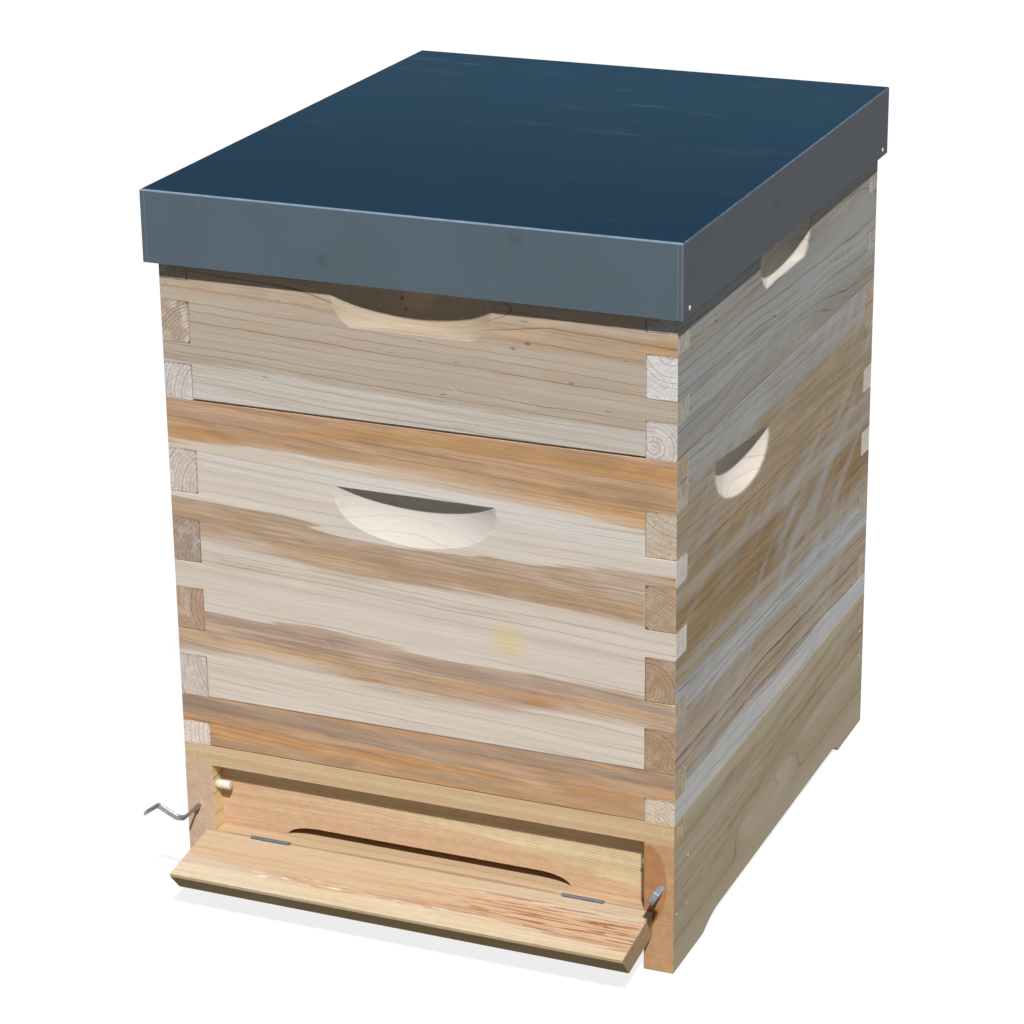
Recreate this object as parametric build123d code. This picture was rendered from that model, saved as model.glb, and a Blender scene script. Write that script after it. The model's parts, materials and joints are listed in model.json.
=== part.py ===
from build123d import *
from math import cos, radians, sin
import os

# A ten-frame hive of the modified Dadant pattern: floor, brood body, shallow super, cover and roof.
# Millimetres, +Z up, +X to the right of someone facing the entrance, +Y towards the back.
# The origin is on the ground, under the middle of the boxes.

# Boxes
hive_width = 430.0
hive_depth = 515.0
board = 25.0
floor_height = 130.0
body_height = 300.0
super_height = 145.0
super_front_gap = 0.8
bee_space = 7.0

# Finger joints, counted down from the top of each box
body_top_finger = 42.0
body_side_finger = 36.6
body_front_finger = 22.8
super_top_finger = 12.0
super_side_finger = 34.5
super_front_finger = 17.0

# Hand scoops: a disc cutter with a rounded edge leaves a flat top and a curved floor
scoop_width = 135.0
scoop_height = 41.5
scoop_depth = 13.4
scoop_edge_radius = 47.5
scoop_bands = 5
body_scoop_drop = 56.0
body_side_scoop_drop = 36.0
body_side_scoop_forward = 102.0
body_side_scoop_tilt = 5.0
super_scoop_width = 125.0
super_scoop_runout = 48.0
super_scoop_height = 36.0
super_scoop_drop = 33.0

# Frame rests
rest_rebate_depth = 10.0
rest_rebate_height = 20.0
runner_thickness = 1.0
runner_height = 13.0

# Comb frames
body_frame_count = 10
super_frame_count = 9
top_bar_width = 27.0
top_bar_thickness = 19.0
lug_thickness = 10.0
lug_end_clearance = 1.5
end_bar_gap = 8.5
end_bar_thickness = 10.0
end_bar_width = 27.0
body_shoulder_length = 88.0
super_shoulder_length = 37.0
shoulder_taper = 12.0
shoulder_clearance = 0.4
bottom_bar_width = 19.0
bottom_bar_thickness = 10.0
wax_sheet_thickness = 1.6

# Floor
rail_height = 18.0
rail_depth = 22.0
sill_top = 52.5
sill_thickness = 22.0
block_setback = 15.0
block_thickness = 22.0
entrance_width = 252.0
entrance_height = 9.5
entrance_end = 28.0
entrance_shift = -4.0
peg_diameter = 7.6
peg_length = 22.5
left_peg_reach = 12.5
right_peg_reach = 2.5
peg_setback = 7.3
peg_height = 92.8
front_foot = 72.0
front_ramp = 38.0
rear_foot = 71.0
rear_ramp = 22.0
arch_height = 8.5

# Mesh floor, its battens and the tray below it
mesh_thickness = 1.2
mesh_pitch = 40.0
mesh_bar = 8.0
mesh_edge = 0.5
batten_width = 20.0
batten_height = 31.3
cross_batten_height = 15.0
tray_thickness = 3.0
tray_height = 27.5
tray_groove_depth = 10.0
tray_clearance = 0.5
tray_front_gap = 3.0
tray_pull_depth = 18.0
tray_pull_height = 17.5
rear_slot_clearance = 1.0

# Landing board and its two butt hinges
landing_width = 395.0
landing_reach = 67.0
landing_thickness = 20.5
landing_droop = 8.0
landing_gap = 0.6
nose_height = 3.0
nose_bevel = 11.5
hinge_inset = 59.0
hinge_length = 36.0
hinge_leaf_height = 14.0
hinge_leaf_thickness = 0.8
knuckle_radius = 1.6
knuckle_clearance = 0.35
pin_radius = 0.8
pin_fit = 0.05
knuckle_gap = 0.2

# Spring hooks that hold the landing board shut
hook_inset = 10.8
hook_height = 73.5
hook_width = 5.0
hook_thickness = 1.6
hook_root = 1.5
hook_rise = 30.0
hook_reach = 24.3
hook_tip = 49.0
hook_tip_lean = 2.4
hook_trough_bend = 7.0
hook_crest_bend = 3.0
left_hook_lift = 25.0
right_hook_lift = 58.0
stem_radius = 1.9
stem_sunk = 16.0
stem_reach = 6.0

# Cover and roof
cover_thickness = 12.0
feeder_hole_side = 70.0
plug_lip_side = 84.0
plug_lip_thickness = 5.0
plug_clearance = 0.5
plug_grip_length = 40.0
plug_grip_width = 18.0
plug_grip_depth = 7.0
roof_sheet = 0.8
roof_clearance = 5.5
roof_forward = 3.5
roof_board_thickness = 14.0
roof_board_clearance = 0.4
roof_skirt = 58.5
roof_bend = 1.5
roof_hem = 8.0
roof_tab = 28.0
rivet_radius = 1.6
rivet_head_radius = 2.4
rivet_head_height = 0.8
rivet_inset = 15.0
rivet_height = 6.0
rivet_sides = 12

# How much wider a hole is than the peg or rivet driven into it
driven_fit = 0.04

# Places worked out from the sizes above
half_width = hive_width / 2
front = -hive_depth / 2
back = hive_depth / 2
inner_half = half_width - board
inner_front = front + board
inner_back = back - board
body_bottom = floor_height
body_top = body_bottom + body_height
super_top = body_top + super_height
cover_top = super_top + cover_thickness
roof_top = cover_top + roof_board_thickness + roof_sheet
block_front = front + block_setback
block_back = block_front + block_thickness
hinge_y = front - landing_gap / 2
hinge_z = sill_top
mesh_bottom = sill_top - mesh_thickness
tray_top = tray_height + tray_thickness
pull_top = tray_top + tray_pull_height
rear_board_bottom = pull_top + rear_slot_clearance
roof_half_width = half_width + roof_clearance + 2 * roof_sheet
roof_half_depth = back + roof_clearance + 2 * roof_sheet
roof_bottom = roof_top - roof_skirt


def block(x, y, z):
    """A box between two limits along each axis."""
    size = Box(x[1] - x[0], y[1] - y[0], z[1] - z[0])
    return Pos((x[0] + x[1]) / 2, (y[0] + y[1]) / 2, (z[0] + z[1]) / 2) * size


def rod(radius, start, end):
    """A round rod between two points."""
    reach = Vector(*end) - Vector(*start)
    return extrude(Plane(origin=start, z_dir=reach) * Circle(radius), reach.length)


def prism_along_x(points, x):
    """An outline drawn as (y, z) points, run from one x to another."""
    outline = Plane.YZ * make_face(Polyline(*points, close=True))
    return Pos(x[0], 0, 0) * extrude(outline, x[1] - x[0])


# Finger-jointed boxes


def side_fingers(height, top_finger, side_finger, front_finger):
    """Heights, within a box, at which the side boards show at the corners."""
    spans = []
    top = height - top_finger
    while top > 0:
        low = max(top - side_finger, 0)
        spans.append((low, top))
        top = low - front_finger
    return spans


def scoop_cutter(width, runout, floor_drop):
    """The disc that cuts a hand scoop, its flat top at z = 0 and the board's face at y = 0.

    Its edge would run out of the wood at the runout depth below the top; a flat floor may end it sooner."""
    reach = ((width / 2) ** 2 - scoop_depth**2) / (2 * scoop_depth)
    edge = RadiusArc((reach + scoop_depth, 0), (reach, -runout), scoop_edge_radius)
    rim = [edge @ (band / scoop_bands) for band in range(scoop_bands + 1)]
    outline = Polyline(*rim, (0, -runout), (0, 0), close=True)
    disc = revolve(Plane.XZ * make_face(outline), Axis.Z)
    span = reach + width
    disc -= block((-span, span), (-span, span), (-runout - floor_drop, -floor_drop))
    return Pos(0, -reach, 0) * disc


def facing(turn, distance, along, height, tilt=0):
    """A place on an outer face: turned about Z, out from the middle, moved along the face."""
    return Rot(0, 0, turn) * Pos(along, -distance, height) * Rot(0, tilt, 0)


def end_board(bottom, height, spans, turn, gap, scoop):
    """A front or back board with its corner notches, frame rebate and hand scoop."""
    depth = -front
    shape = block((-half_width, half_width), (-depth, board - depth), (bottom + gap, bottom + height))
    for low, top in spans:
        for side in (-1, 1):
            x = sorted((side * inner_half, side * half_width))
            shape -= block(x, (-depth, board - depth), (bottom + low, bottom + top))
    rebate_front = board - depth - rest_rebate_depth
    top = bottom + height
    shape -= block((-inner_half, inner_half), (rebate_front, board - depth), (top - rest_rebate_height, top))
    shape = Rot(0, 0, turn) * shape
    return shape - facing(turn, depth, 0, top - scoop["drop"]) * scoop["cutter"]


def side_board(bottom, height, spans, turn, scoop):
    """A side board with its corner fingers and hand scoop."""
    x = (-half_width, -inner_half) if turn < 0 else (inner_half, half_width)
    shape = block(x, (inner_front, inner_back), (bottom, bottom + height))
    for low, top in spans:
        for y in ((front, inner_front), (inner_back, back)):
            shape += block(x, y, (bottom + low, bottom + top))
    forward = -scoop["forward"] if turn > 0 else scoop["forward"]
    tilt = scoop["tilt"] if turn > 0 else -scoop["tilt"]
    place = facing(turn, half_width, forward, bottom + height - scoop["drop"], tilt)
    return shape - place * scoop["cutter"]


def box_boards(name, bottom, height, spans, end_scoop, side_scoop, front_gap=0):
    """The four boards of one box."""
    return {
        f"{name}_front_board": end_board(bottom, height, spans, 0, front_gap, end_scoop),
        f"{name}_back_board": end_board(bottom, height, spans, 180, 0, end_scoop),
        f"{name}_left_board": side_board(bottom, height, spans, -90, side_scoop),
        f"{name}_right_board": side_board(bottom, height, spans, 90, side_scoop),
    }


def brood_body_boards():
    spans = side_fingers(body_height, body_top_finger, body_side_finger, body_front_finger)
    cutter = scoop_cutter(scoop_width, scoop_height, scoop_height)
    end_scoop = {"cutter": cutter, "drop": body_scoop_drop}
    side_scoop = {
        "cutter": cutter,
        "drop": body_side_scoop_drop,
        "forward": body_side_scoop_forward,
        "tilt": body_side_scoop_tilt,
    }
    return box_boards("body", body_bottom, body_height, spans, end_scoop, side_scoop)


def super_boards():
    spans = side_fingers(super_height, super_top_finger, super_side_finger, super_front_finger)
    cutter = scoop_cutter(super_scoop_width, super_scoop_runout, super_scoop_height)
    scoop = {"cutter": cutter, "drop": super_scoop_drop, "forward": 0, "tilt": 0}
    return box_boards("super", body_top, super_height, spans, scoop, scoop, super_front_gap)


def frame_runners(name, top):
    """Upright steel strips inside the front and back boards that carry the frame lugs."""
    high = top - bee_space - lug_thickness
    z = (high - runner_height, high)
    x = (-inner_half, inner_half)
    return {
        f"{name}_front_runner": block(x, (inner_front, inner_front + runner_thickness), z),
        f"{name}_back_runner": block(x, (inner_back - runner_thickness, inner_back), z),
    }


# Comb frames


def comb_frames(name, top, height, count, shoulder_length):
    """All frames of a box, as groups of top bars, end bars, bottom bars and wax sheets."""
    pitch = 2 * inner_half / count
    bar_top = top - bee_space
    frame_bottom = top - height + bee_space
    lug_reach = inner_back + rest_rebate_depth - lug_end_clearance
    end_outer = inner_back - end_bar_gap
    end_inner = end_outer - end_bar_thickness
    lug_low = bar_top - lug_thickness
    bar_low = bar_top - top_bar_thickness
    bottom_bar_top = frame_bottom + bottom_bar_thickness
    shoulder_low = lug_low - shoulder_length

    bar_outline = [
        (-lug_reach, bar_top), (lug_reach, bar_top), (lug_reach, lug_low), (end_inner, lug_low),
        (end_inner, bar_low), (-end_inner, bar_low), (-end_inner, lug_low), (-lug_reach, lug_low),
    ]
    top_bar = prism_along_x(bar_outline, (-top_bar_width / 2, top_bar_width / 2))

    shoulder = (pitch - shoulder_clearance) / 2
    waist = end_bar_width / 2
    waist_top = shoulder_low - shoulder_taper
    half_outline = [(shoulder, lug_low), (shoulder, shoulder_low), (waist, waist_top), (waist, frame_bottom)]
    mirrored = [(-x, z) for x, z in reversed(half_outline)]
    end_face = Plane.XZ * make_face(Polyline(*half_outline, *mirrored, close=True))
    front_end_bar = Pos(0, -end_inner, 0) * extrude(end_face, end_bar_thickness)
    back_end_bar = Pos(0, end_outer, 0) * extrude(end_face, end_bar_thickness)

    between = (-end_inner, end_inner)
    half_bar = bottom_bar_width / 2
    bottom_bar = block((-half_bar, half_bar), between, (frame_bottom, bottom_bar_top))
    half_wax = wax_sheet_thickness / 2
    wax_sheet = block((-half_wax, half_wax), between, (bottom_bar_top, bar_low))

    places = [Pos(pitch * (index + 0.5) - inner_half, 0, 0) for index in range(count)]
    return {
        f"{name}_frame_top_bars": [place * top_bar for place in places],
        f"{name}_frame_end_bars": [place * bar for place in places for bar in (front_end_bar, back_end_bar)],
        f"{name}_frame_bottom_bars": [place * bottom_bar for place in places],
        f"{name}_wax_sheets": [place * wax_sheet for place in places],
    }


# Floor


def floor_side(side):
    """A side board of the floor: notched for the front rail, arched between its two feet."""
    front_arch = front + front_foot + front_ramp
    rear_arch = back - rear_foot - rear_ramp
    front_arc = RadiusArc((front + front_foot, 0), (front_arch, arch_height), ramp_radius(front_ramp))
    rear_arc = RadiusArc((rear_arch, arch_height), (back - rear_foot, 0), ramp_radius(rear_ramp))
    rail_low = floor_height - rail_height
    outline = [
        Line((front, 0), front_arc @ 0),
        front_arc,
        Line(front_arc @ 1, rear_arc @ 0),
        rear_arc,
        Polyline(
            rear_arc @ 1, (back, 0), (back, floor_height), (front + rail_depth, floor_height),
            (front + rail_depth, rail_low), (front, rail_low), (front, 0),
        ),
    ]
    edges = [edge for line in outline for edge in line.edges()]
    left_face = inner_half if side > 0 else -half_width
    shape = Pos(left_face, 0, 0) * extrude(Plane.YZ * make_face(edges), board)
    peg_start = (side * inner_half, front + peg_setback, peg_height)
    shape -= rod(peg_diameter / 2 + driven_fit, peg_start, peg_ends(side)[0])
    stem_x = side * (half_width - hook_inset)
    stem_end = (stem_x, front + stem_sunk, hook_height)
    return shape - rod(stem_radius + pin_fit, (stem_x, front, hook_height), stem_end)


def ramp_radius(ramp):
    """Radius of the arc that leaves a foot and runs level into the arch."""
    return (ramp**2 + arch_height**2) / (2 * arch_height)


def peg_ends(side):
    """The sunk end and the free end of a peg; the right one is pushed nearly home."""
    reach = right_peg_reach if side > 0 else left_peg_reach
    free = inner_half - reach
    return [(side * x, front + peg_setback, peg_height) for x in (free + peg_length, free)]


def entrance_peg(side):
    return rod(peg_diameter / 2, *peg_ends(side))


def front_rail():
    z = (floor_height - rail_height, floor_height)
    return block((-half_width, half_width), (front, front + rail_depth), z)


def entrance_block():
    """The front wall of the floor, rebated behind the rail, with a low slot of curved ends."""
    rail_low = floor_height - rail_height
    outline = [
        (block_front, sill_top), (block_back, sill_top), (block_back, floor_height),
        (front + rail_depth, floor_height), (front + rail_depth, rail_low), (block_front, rail_low),
    ]
    wall = prism_along_x(outline, (-inner_half, inner_half))
    left = entrance_shift - entrance_width / 2
    right = entrance_shift + entrance_width / 2
    slot_top = sill_top + entrance_height
    left_middle = (left + entrance_end, sill_top)
    right_middle = (right - entrance_end, sill_top)
    slot_outline = [
        EllipticalCenterArc(left_middle, entrance_end, entrance_height, 90, arc_size=90),
        EllipticalCenterArc(right_middle, entrance_end, entrance_height, 0, arc_size=90),
        Line((left, sill_top), (right, sill_top)),
        Line((left_middle[0], slot_top), (right_middle[0], slot_top)),
    ]
    slot = extrude(Plane.XZ * make_face(slot_outline), block_thickness)
    return wall - Pos(0, block_back, 0) * slot


def sill():
    """The strip that the entrance block stands on, with mortises for the hinges."""
    shape = block((-inner_half, inner_half), (front, block_back), (sill_top - sill_thickness, sill_top))
    for side in (-1, 1):
        shape -= hinge_seat(side, (front, front + hinge_leaf_thickness))
    return shape


def rear_board():
    return block((-inner_half, inner_half), (inner_back, back), (rear_board_bottom, floor_height))


def side_batten(side):
    """A batten that carries the mesh, grooved for the edge of the tray."""
    near = inner_half - batten_width
    y = (block_back, inner_back)
    x = sorted((side * inner_half, side * near))
    shape = block(x, y, (mesh_bottom - batten_height, mesh_bottom))
    groove_x = sorted((side * near, side * (near + tray_groove_depth)))
    return shape - block(groove_x, y, (tray_height - tray_clearance, tray_top + tray_clearance))


def cross_batten(y):
    x = (batten_width - inner_half, inner_half - batten_width)
    return block(x, y, (mesh_bottom - cross_batten_height, mesh_bottom))


def mesh_floor():
    """The ventilated floor: one sheet with a grid of square openings."""
    width = 2 * (inner_half - mesh_edge)
    depth = inner_back - block_back - 2 * mesh_edge
    columns = int((width - mesh_pitch) / mesh_pitch)
    rows = int((depth - mesh_pitch) / mesh_pitch)
    hole = Rectangle(mesh_pitch - mesh_bar, mesh_pitch - mesh_bar)
    sheet = Rectangle(width, depth) - GridLocations(mesh_pitch, mesh_pitch, columns, rows) * hole
    return Pos(0, (block_back + inner_back) / 2, mesh_bottom) * extrude(sheet, mesh_thickness)


def tray():
    half = inner_half - batten_width + tray_groove_depth - tray_clearance
    return block((-half, half), (block_back + tray_front_gap, back), (tray_height, tray_top))


def tray_pull():
    half = inner_half - tray_clearance
    return block((-half, half), (back - tray_pull_depth, back), (tray_top, pull_top))


# Landing board, hinges and hooks


def hinge_centre(side):
    return side * (landing_width / 2 - hinge_inset)


def along_hinge(radius, start, end):
    """A round rod on the hinge line."""
    return rod(radius, (start, hinge_y, hinge_z), (end, hinge_y, hinge_z))


def hinge_seat(side, y):
    """What a hinge takes out of the wood: a round groove for the barrel and a pocket for a leaf."""
    middle = hinge_centre(side)
    x = (middle - hinge_length / 2, middle + hinge_length / 2)
    groove = along_hinge(knuckle_radius + knuckle_clearance, *x)
    return groove + block(x, y, (hinge_z - hinge_leaf_height, hinge_z))


def hinge_leaf(side, y, knuckles):
    """A hinge leaf: a plate, its knuckles and the room it leaves for the other leaf's knuckles."""
    middle = hinge_centre(side)
    third = hinge_length / 3
    x = (middle - hinge_length / 2, middle + hinge_length / 2)
    shape = block(x, y, (hinge_z - hinge_leaf_height, hinge_z))
    for index in range(3):
        start = x[0] + third * index
        end = start + third
        if index in knuckles:
            shape += along_hinge(knuckle_radius, start + knuckle_gap / 2, end - knuckle_gap / 2)
        else:
            shape -= along_hinge(knuckle_radius + knuckle_clearance, start, end)
    return shape - along_hinge(pin_radius + pin_fit, *x)


def sill_hinge_leaf(side):
    return hinge_leaf(side, (front, front + hinge_leaf_thickness), (0, 2))


def board_hinge_leaf(side):
    face = front - landing_gap
    return hinge_leaf(side, (face - hinge_leaf_thickness, face), (1,))


def hinge_pin(side):
    middle = hinge_centre(side)
    return along_hinge(pin_radius, middle - hinge_length / 2, middle + hinge_length / 2)


def landing_board():
    """A board that slopes down from its hinges, its front edge undercut by a bevel."""
    slope_cos = cos(radians(landing_droop))
    slope_sin = sin(radians(landing_droop))

    def at(along, above):
        y = hinge_y - along * slope_cos - above * slope_sin
        return (y, hinge_z - along * slope_sin + above * slope_cos)

    rear = front - landing_gap
    top_rear = at((hinge_y - rear) / slope_cos, 0)
    low_rear = at((hinge_y - rear + landing_thickness * slope_sin) / slope_cos, -landing_thickness)
    outline = [
        top_rear,
        at(landing_reach, 0),
        at(landing_reach, -nose_height),
        at(landing_reach - nose_bevel, -landing_thickness),
        low_rear,
    ]
    shape = prism_along_x(outline, (-landing_width / 2, landing_width / 2))
    for side in (-1, 1):
        shape -= hinge_seat(side, (rear - hinge_leaf_thickness, rear))
    return shape


def hook(side, lift):
    """A bent spring strip that stands out from the floor; lift is its angle above the horizontal, outwards."""
    pivot = (side * (half_width - hook_inset), front, hook_height)
    along = Vector(side * cos(radians(lift)), 0, sin(radians(lift)))
    plane = Plane(origin=pivot, x_dir=along, z_dir=along.cross(Vector(0, -1, 0)))
    half = hook_thickness / 2
    path = FilletPolyline(
        (half, hook_root),
        (half, hook_rise),
        (hook_reach, hook_rise),
        (hook_reach + hook_tip_lean, hook_tip),
        radius=[hook_trough_bend, hook_crest_bend],
    )
    outline = make_face(offset(path, amount=hook_thickness, side=Side.LEFT).edges())
    return extrude(plane * outline, hook_width / 2, both=True)


def hook_screw(side, strip):
    """The screw stem a hook turns on, its end slotted for the strip."""
    x = side * (half_width - hook_inset)
    stem = rod(stem_radius, (x, front + stem_sunk, hook_height), (x, front - stem_reach, hook_height))
    return stem - strip


# Cover and roof


def stepped_square(clearance):
    """A square with a wider lip at the top, as large as the feeder hole less a clearance all round."""
    lip = plug_lip_side / 2 - clearance
    hole = feeder_hole_side / 2 - clearance
    shape = block((-lip, lip), (-lip, lip), (cover_top - plug_lip_thickness, cover_top))
    return shape + block((-hole, hole), (-hole, hole), (super_top, cover_top))


def cover_panel():
    panel = block((-half_width, half_width), (front, back), (super_top, cover_top))
    return panel - stepped_square(0)


def feeder_plug():
    """The stopper of the feeder hole, with a sloping finger hollow in its top."""
    half = plug_grip_length / 2
    outline = [(-half, cover_top), (half, cover_top), (half, cover_top - plug_grip_depth)]
    grip = prism_along_x(outline, (-plug_grip_width / 2, plug_grip_width / 2))
    return stepped_square(plug_clearance) - grip


def roof_blank(inset, z):
    """A block of the roof's plan, drawn in by inset."""
    x = roof_half_width - inset
    y = roof_half_depth - inset
    return block((-x, x), (-y, y), z)


def roof_sheet_cap():
    """The folded sheet roof: a shallow tray turned over, with a hem and lapped corners."""
    outer = roof_blank(0, (roof_bottom, roof_top))
    shape = fillet(outer.faces().sort_by(Axis.Z)[-1].edges(), roof_bend)
    hem_top = roof_bottom + roof_hem
    shape -= roof_blank(roof_sheet, (hem_top, roof_top - roof_sheet))
    shape -= roof_blank(2 * roof_sheet, (roof_bottom, hem_top))
    inner_x = roof_half_width - roof_sheet
    inner_y = roof_half_depth - roof_sheet
    tab_z = (hem_top, roof_top - roof_sheet - roof_board_thickness)
    for side in (-1, 1):
        x = sorted((side * inner_x, side * (inner_x - roof_sheet)))
        for end in (-1, 1):
            y = sorted((end * inner_y, end * (inner_y - roof_tab)))
            shape += block(x, y, tab_z)
        for y in rivet_rows():
            shape -= rivet_rod(rivet_radius + driven_fit, rivet_point(side, y, 1), rivet_point(side, y, -1))
    return Pos(0, -roof_forward, 0) * shape


def rivet_rows():
    return (rivet_inset - roof_half_depth, roof_half_depth - rivet_inset)


def rivet_point(side, y, way):
    """A rivet's outer (way 1) or inner (way -1) seat on a side skirt."""
    depth = 0 if way > 0 else 2 * roof_sheet
    return (side * (roof_half_width - depth), y, roof_bottom + rivet_height)


def rivet_rod(radius, start, end):
    """A rod of as many sides as a rivet has, between two points."""
    reach = Vector(*end) - Vector(*start)
    return extrude(Plane(origin=start, z_dir=reach) * RegularPolygon(radius, rivet_sides), reach.length)


def roof_rivet(side, y):
    outer = rivet_point(side, y, 1)
    inner = rivet_point(side, y, -1)
    shape = rivet_rod(rivet_radius, outer, inner)
    for seat, way in ((outer, side), (inner, -side)):
        head_end = (seat[0] + way * rivet_head_height, seat[1], seat[2])
        shape += rivet_rod(rivet_head_radius, seat, head_end)
    return Pos(0, -roof_forward, 0) * shape


def roof_board():
    x = roof_half_width - 2 * roof_sheet - roof_board_clearance
    y = roof_half_depth - 2 * roof_sheet - roof_board_clearance
    z = (cover_top, cover_top + roof_board_thickness)
    return Pos(0, -roof_forward, 0) * block((-x, x), (-y, y), z)


left_hook = hook(-1, left_hook_lift)
right_hook = hook(1, right_hook_lift)

nodes = {
    "floor_left_side": floor_side(-1),
    "floor_right_side": floor_side(1),
    "floor_front_rail": front_rail(),
    "floor_rear_board": rear_board(),
    "floor_sill": sill(),
    "entrance_block": entrance_block(),
    "entrance_peg_left": entrance_peg(-1),
    "entrance_peg_right": entrance_peg(1),
    "mesh_batten_left": side_batten(-1),
    "mesh_batten_right": side_batten(1),
    "mesh_batten_front": cross_batten((block_back, block_back + batten_width)),
    "mesh_batten_rear": cross_batten((inner_back - batten_width, inner_back)),
    "mesh_floor": mesh_floor(),
    "tray": tray(),
    "tray_pull": tray_pull(),
    "landing_board": landing_board(),
    "sill_hinge_leaf_left": sill_hinge_leaf(-1),
    "sill_hinge_leaf_right": sill_hinge_leaf(1),
    "board_hinge_leaf_left": board_hinge_leaf(-1),
    "board_hinge_leaf_right": board_hinge_leaf(1),
    "hinge_pin_left": hinge_pin(-1),
    "hinge_pin_right": hinge_pin(1),
    "hook_left": left_hook,
    "hook_right": right_hook,
    "hook_screw_left": hook_screw(-1, left_hook),
    "hook_screw_right": hook_screw(1, right_hook),
    **brood_body_boards(),
    **frame_runners("body", body_top),
    **comb_frames("body", body_top, body_height, body_frame_count, body_shoulder_length),
    **super_boards(),
    **frame_runners("super", super_top),
    **comb_frames("super", super_top, super_height, super_frame_count, super_shoulder_length),
    "cover_panel": cover_panel(),
    "feeder_plug": feeder_plug(),
    "roof_sheet": roof_sheet_cap(),
    "roof_board": roof_board(),
    "roof_rivets": [roof_rivet(side, y) for side in (-1, 1) for y in rivet_rows()],
}

os.makedirs("parts", exist_ok=True)
for name, shape in nodes.items():
    solids = shape if isinstance(shape, list) else [shape]
    export_step(Compound(children=solids) if len(solids) > 1 else solids[0], f"parts/{name}.step")
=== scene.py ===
"""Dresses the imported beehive: wood, paint and metal finishes, small fittings and a plain photo stage."""
import json
import math

import bpy
from bpy.props import FloatProperty, FloatVectorProperty, IntProperty, PointerProperty
from mathutils import Matrix, Vector

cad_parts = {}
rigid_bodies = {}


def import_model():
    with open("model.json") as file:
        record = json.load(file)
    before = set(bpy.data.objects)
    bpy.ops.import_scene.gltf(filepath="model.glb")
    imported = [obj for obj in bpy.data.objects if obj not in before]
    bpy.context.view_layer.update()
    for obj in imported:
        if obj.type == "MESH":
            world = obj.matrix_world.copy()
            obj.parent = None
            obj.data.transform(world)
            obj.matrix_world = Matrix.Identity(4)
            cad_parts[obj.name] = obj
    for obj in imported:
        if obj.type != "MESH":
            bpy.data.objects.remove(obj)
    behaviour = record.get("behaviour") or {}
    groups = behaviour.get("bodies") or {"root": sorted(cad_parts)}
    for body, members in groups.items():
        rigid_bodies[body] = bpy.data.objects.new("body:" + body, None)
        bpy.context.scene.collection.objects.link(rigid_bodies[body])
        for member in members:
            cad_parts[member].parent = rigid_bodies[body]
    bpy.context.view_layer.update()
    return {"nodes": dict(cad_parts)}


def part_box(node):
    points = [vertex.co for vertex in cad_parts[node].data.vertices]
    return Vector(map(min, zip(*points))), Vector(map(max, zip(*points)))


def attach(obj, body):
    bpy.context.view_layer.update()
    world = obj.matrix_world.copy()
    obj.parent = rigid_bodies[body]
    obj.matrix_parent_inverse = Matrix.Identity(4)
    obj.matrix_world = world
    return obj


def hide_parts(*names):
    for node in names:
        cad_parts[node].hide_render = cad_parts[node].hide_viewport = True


bl_info = {
    "name": "Beehive dressing",
    "version": (1, 0, 0),
    "blender": (4, 5, 0),
    "location": "3D View > Sidebar > Beehive",
    "description": "Finishes a packed beehive and sets it on a plain stage",
    "category": "Object",
}

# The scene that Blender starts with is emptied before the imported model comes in
for leftover in list(bpy.data.objects):
    bpy.data.objects.remove(leftover)

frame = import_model()
NODES = frame["nodes"]
MM = 0.001
WHITE = (1.0, 1.0, 1.0, 1.0)
WARM_WHITE = (1.0, 0.995, 0.985)


# Colours and node graphs


def tone(code):
    """A colour written as six hex digits, in linear RGBA."""
    shares = [int(code[place:place + 2], 16) / 255 for place in (0, 2, 4)]
    return (*[s / 12.92 if s <= 0.04045 else ((s + 0.055) / 1.055) ** 2.4 for s in shares], 1.0)


def solid(colour):
    """A colour property as RGBA."""
    return (*colour[:3], 1.0)


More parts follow.
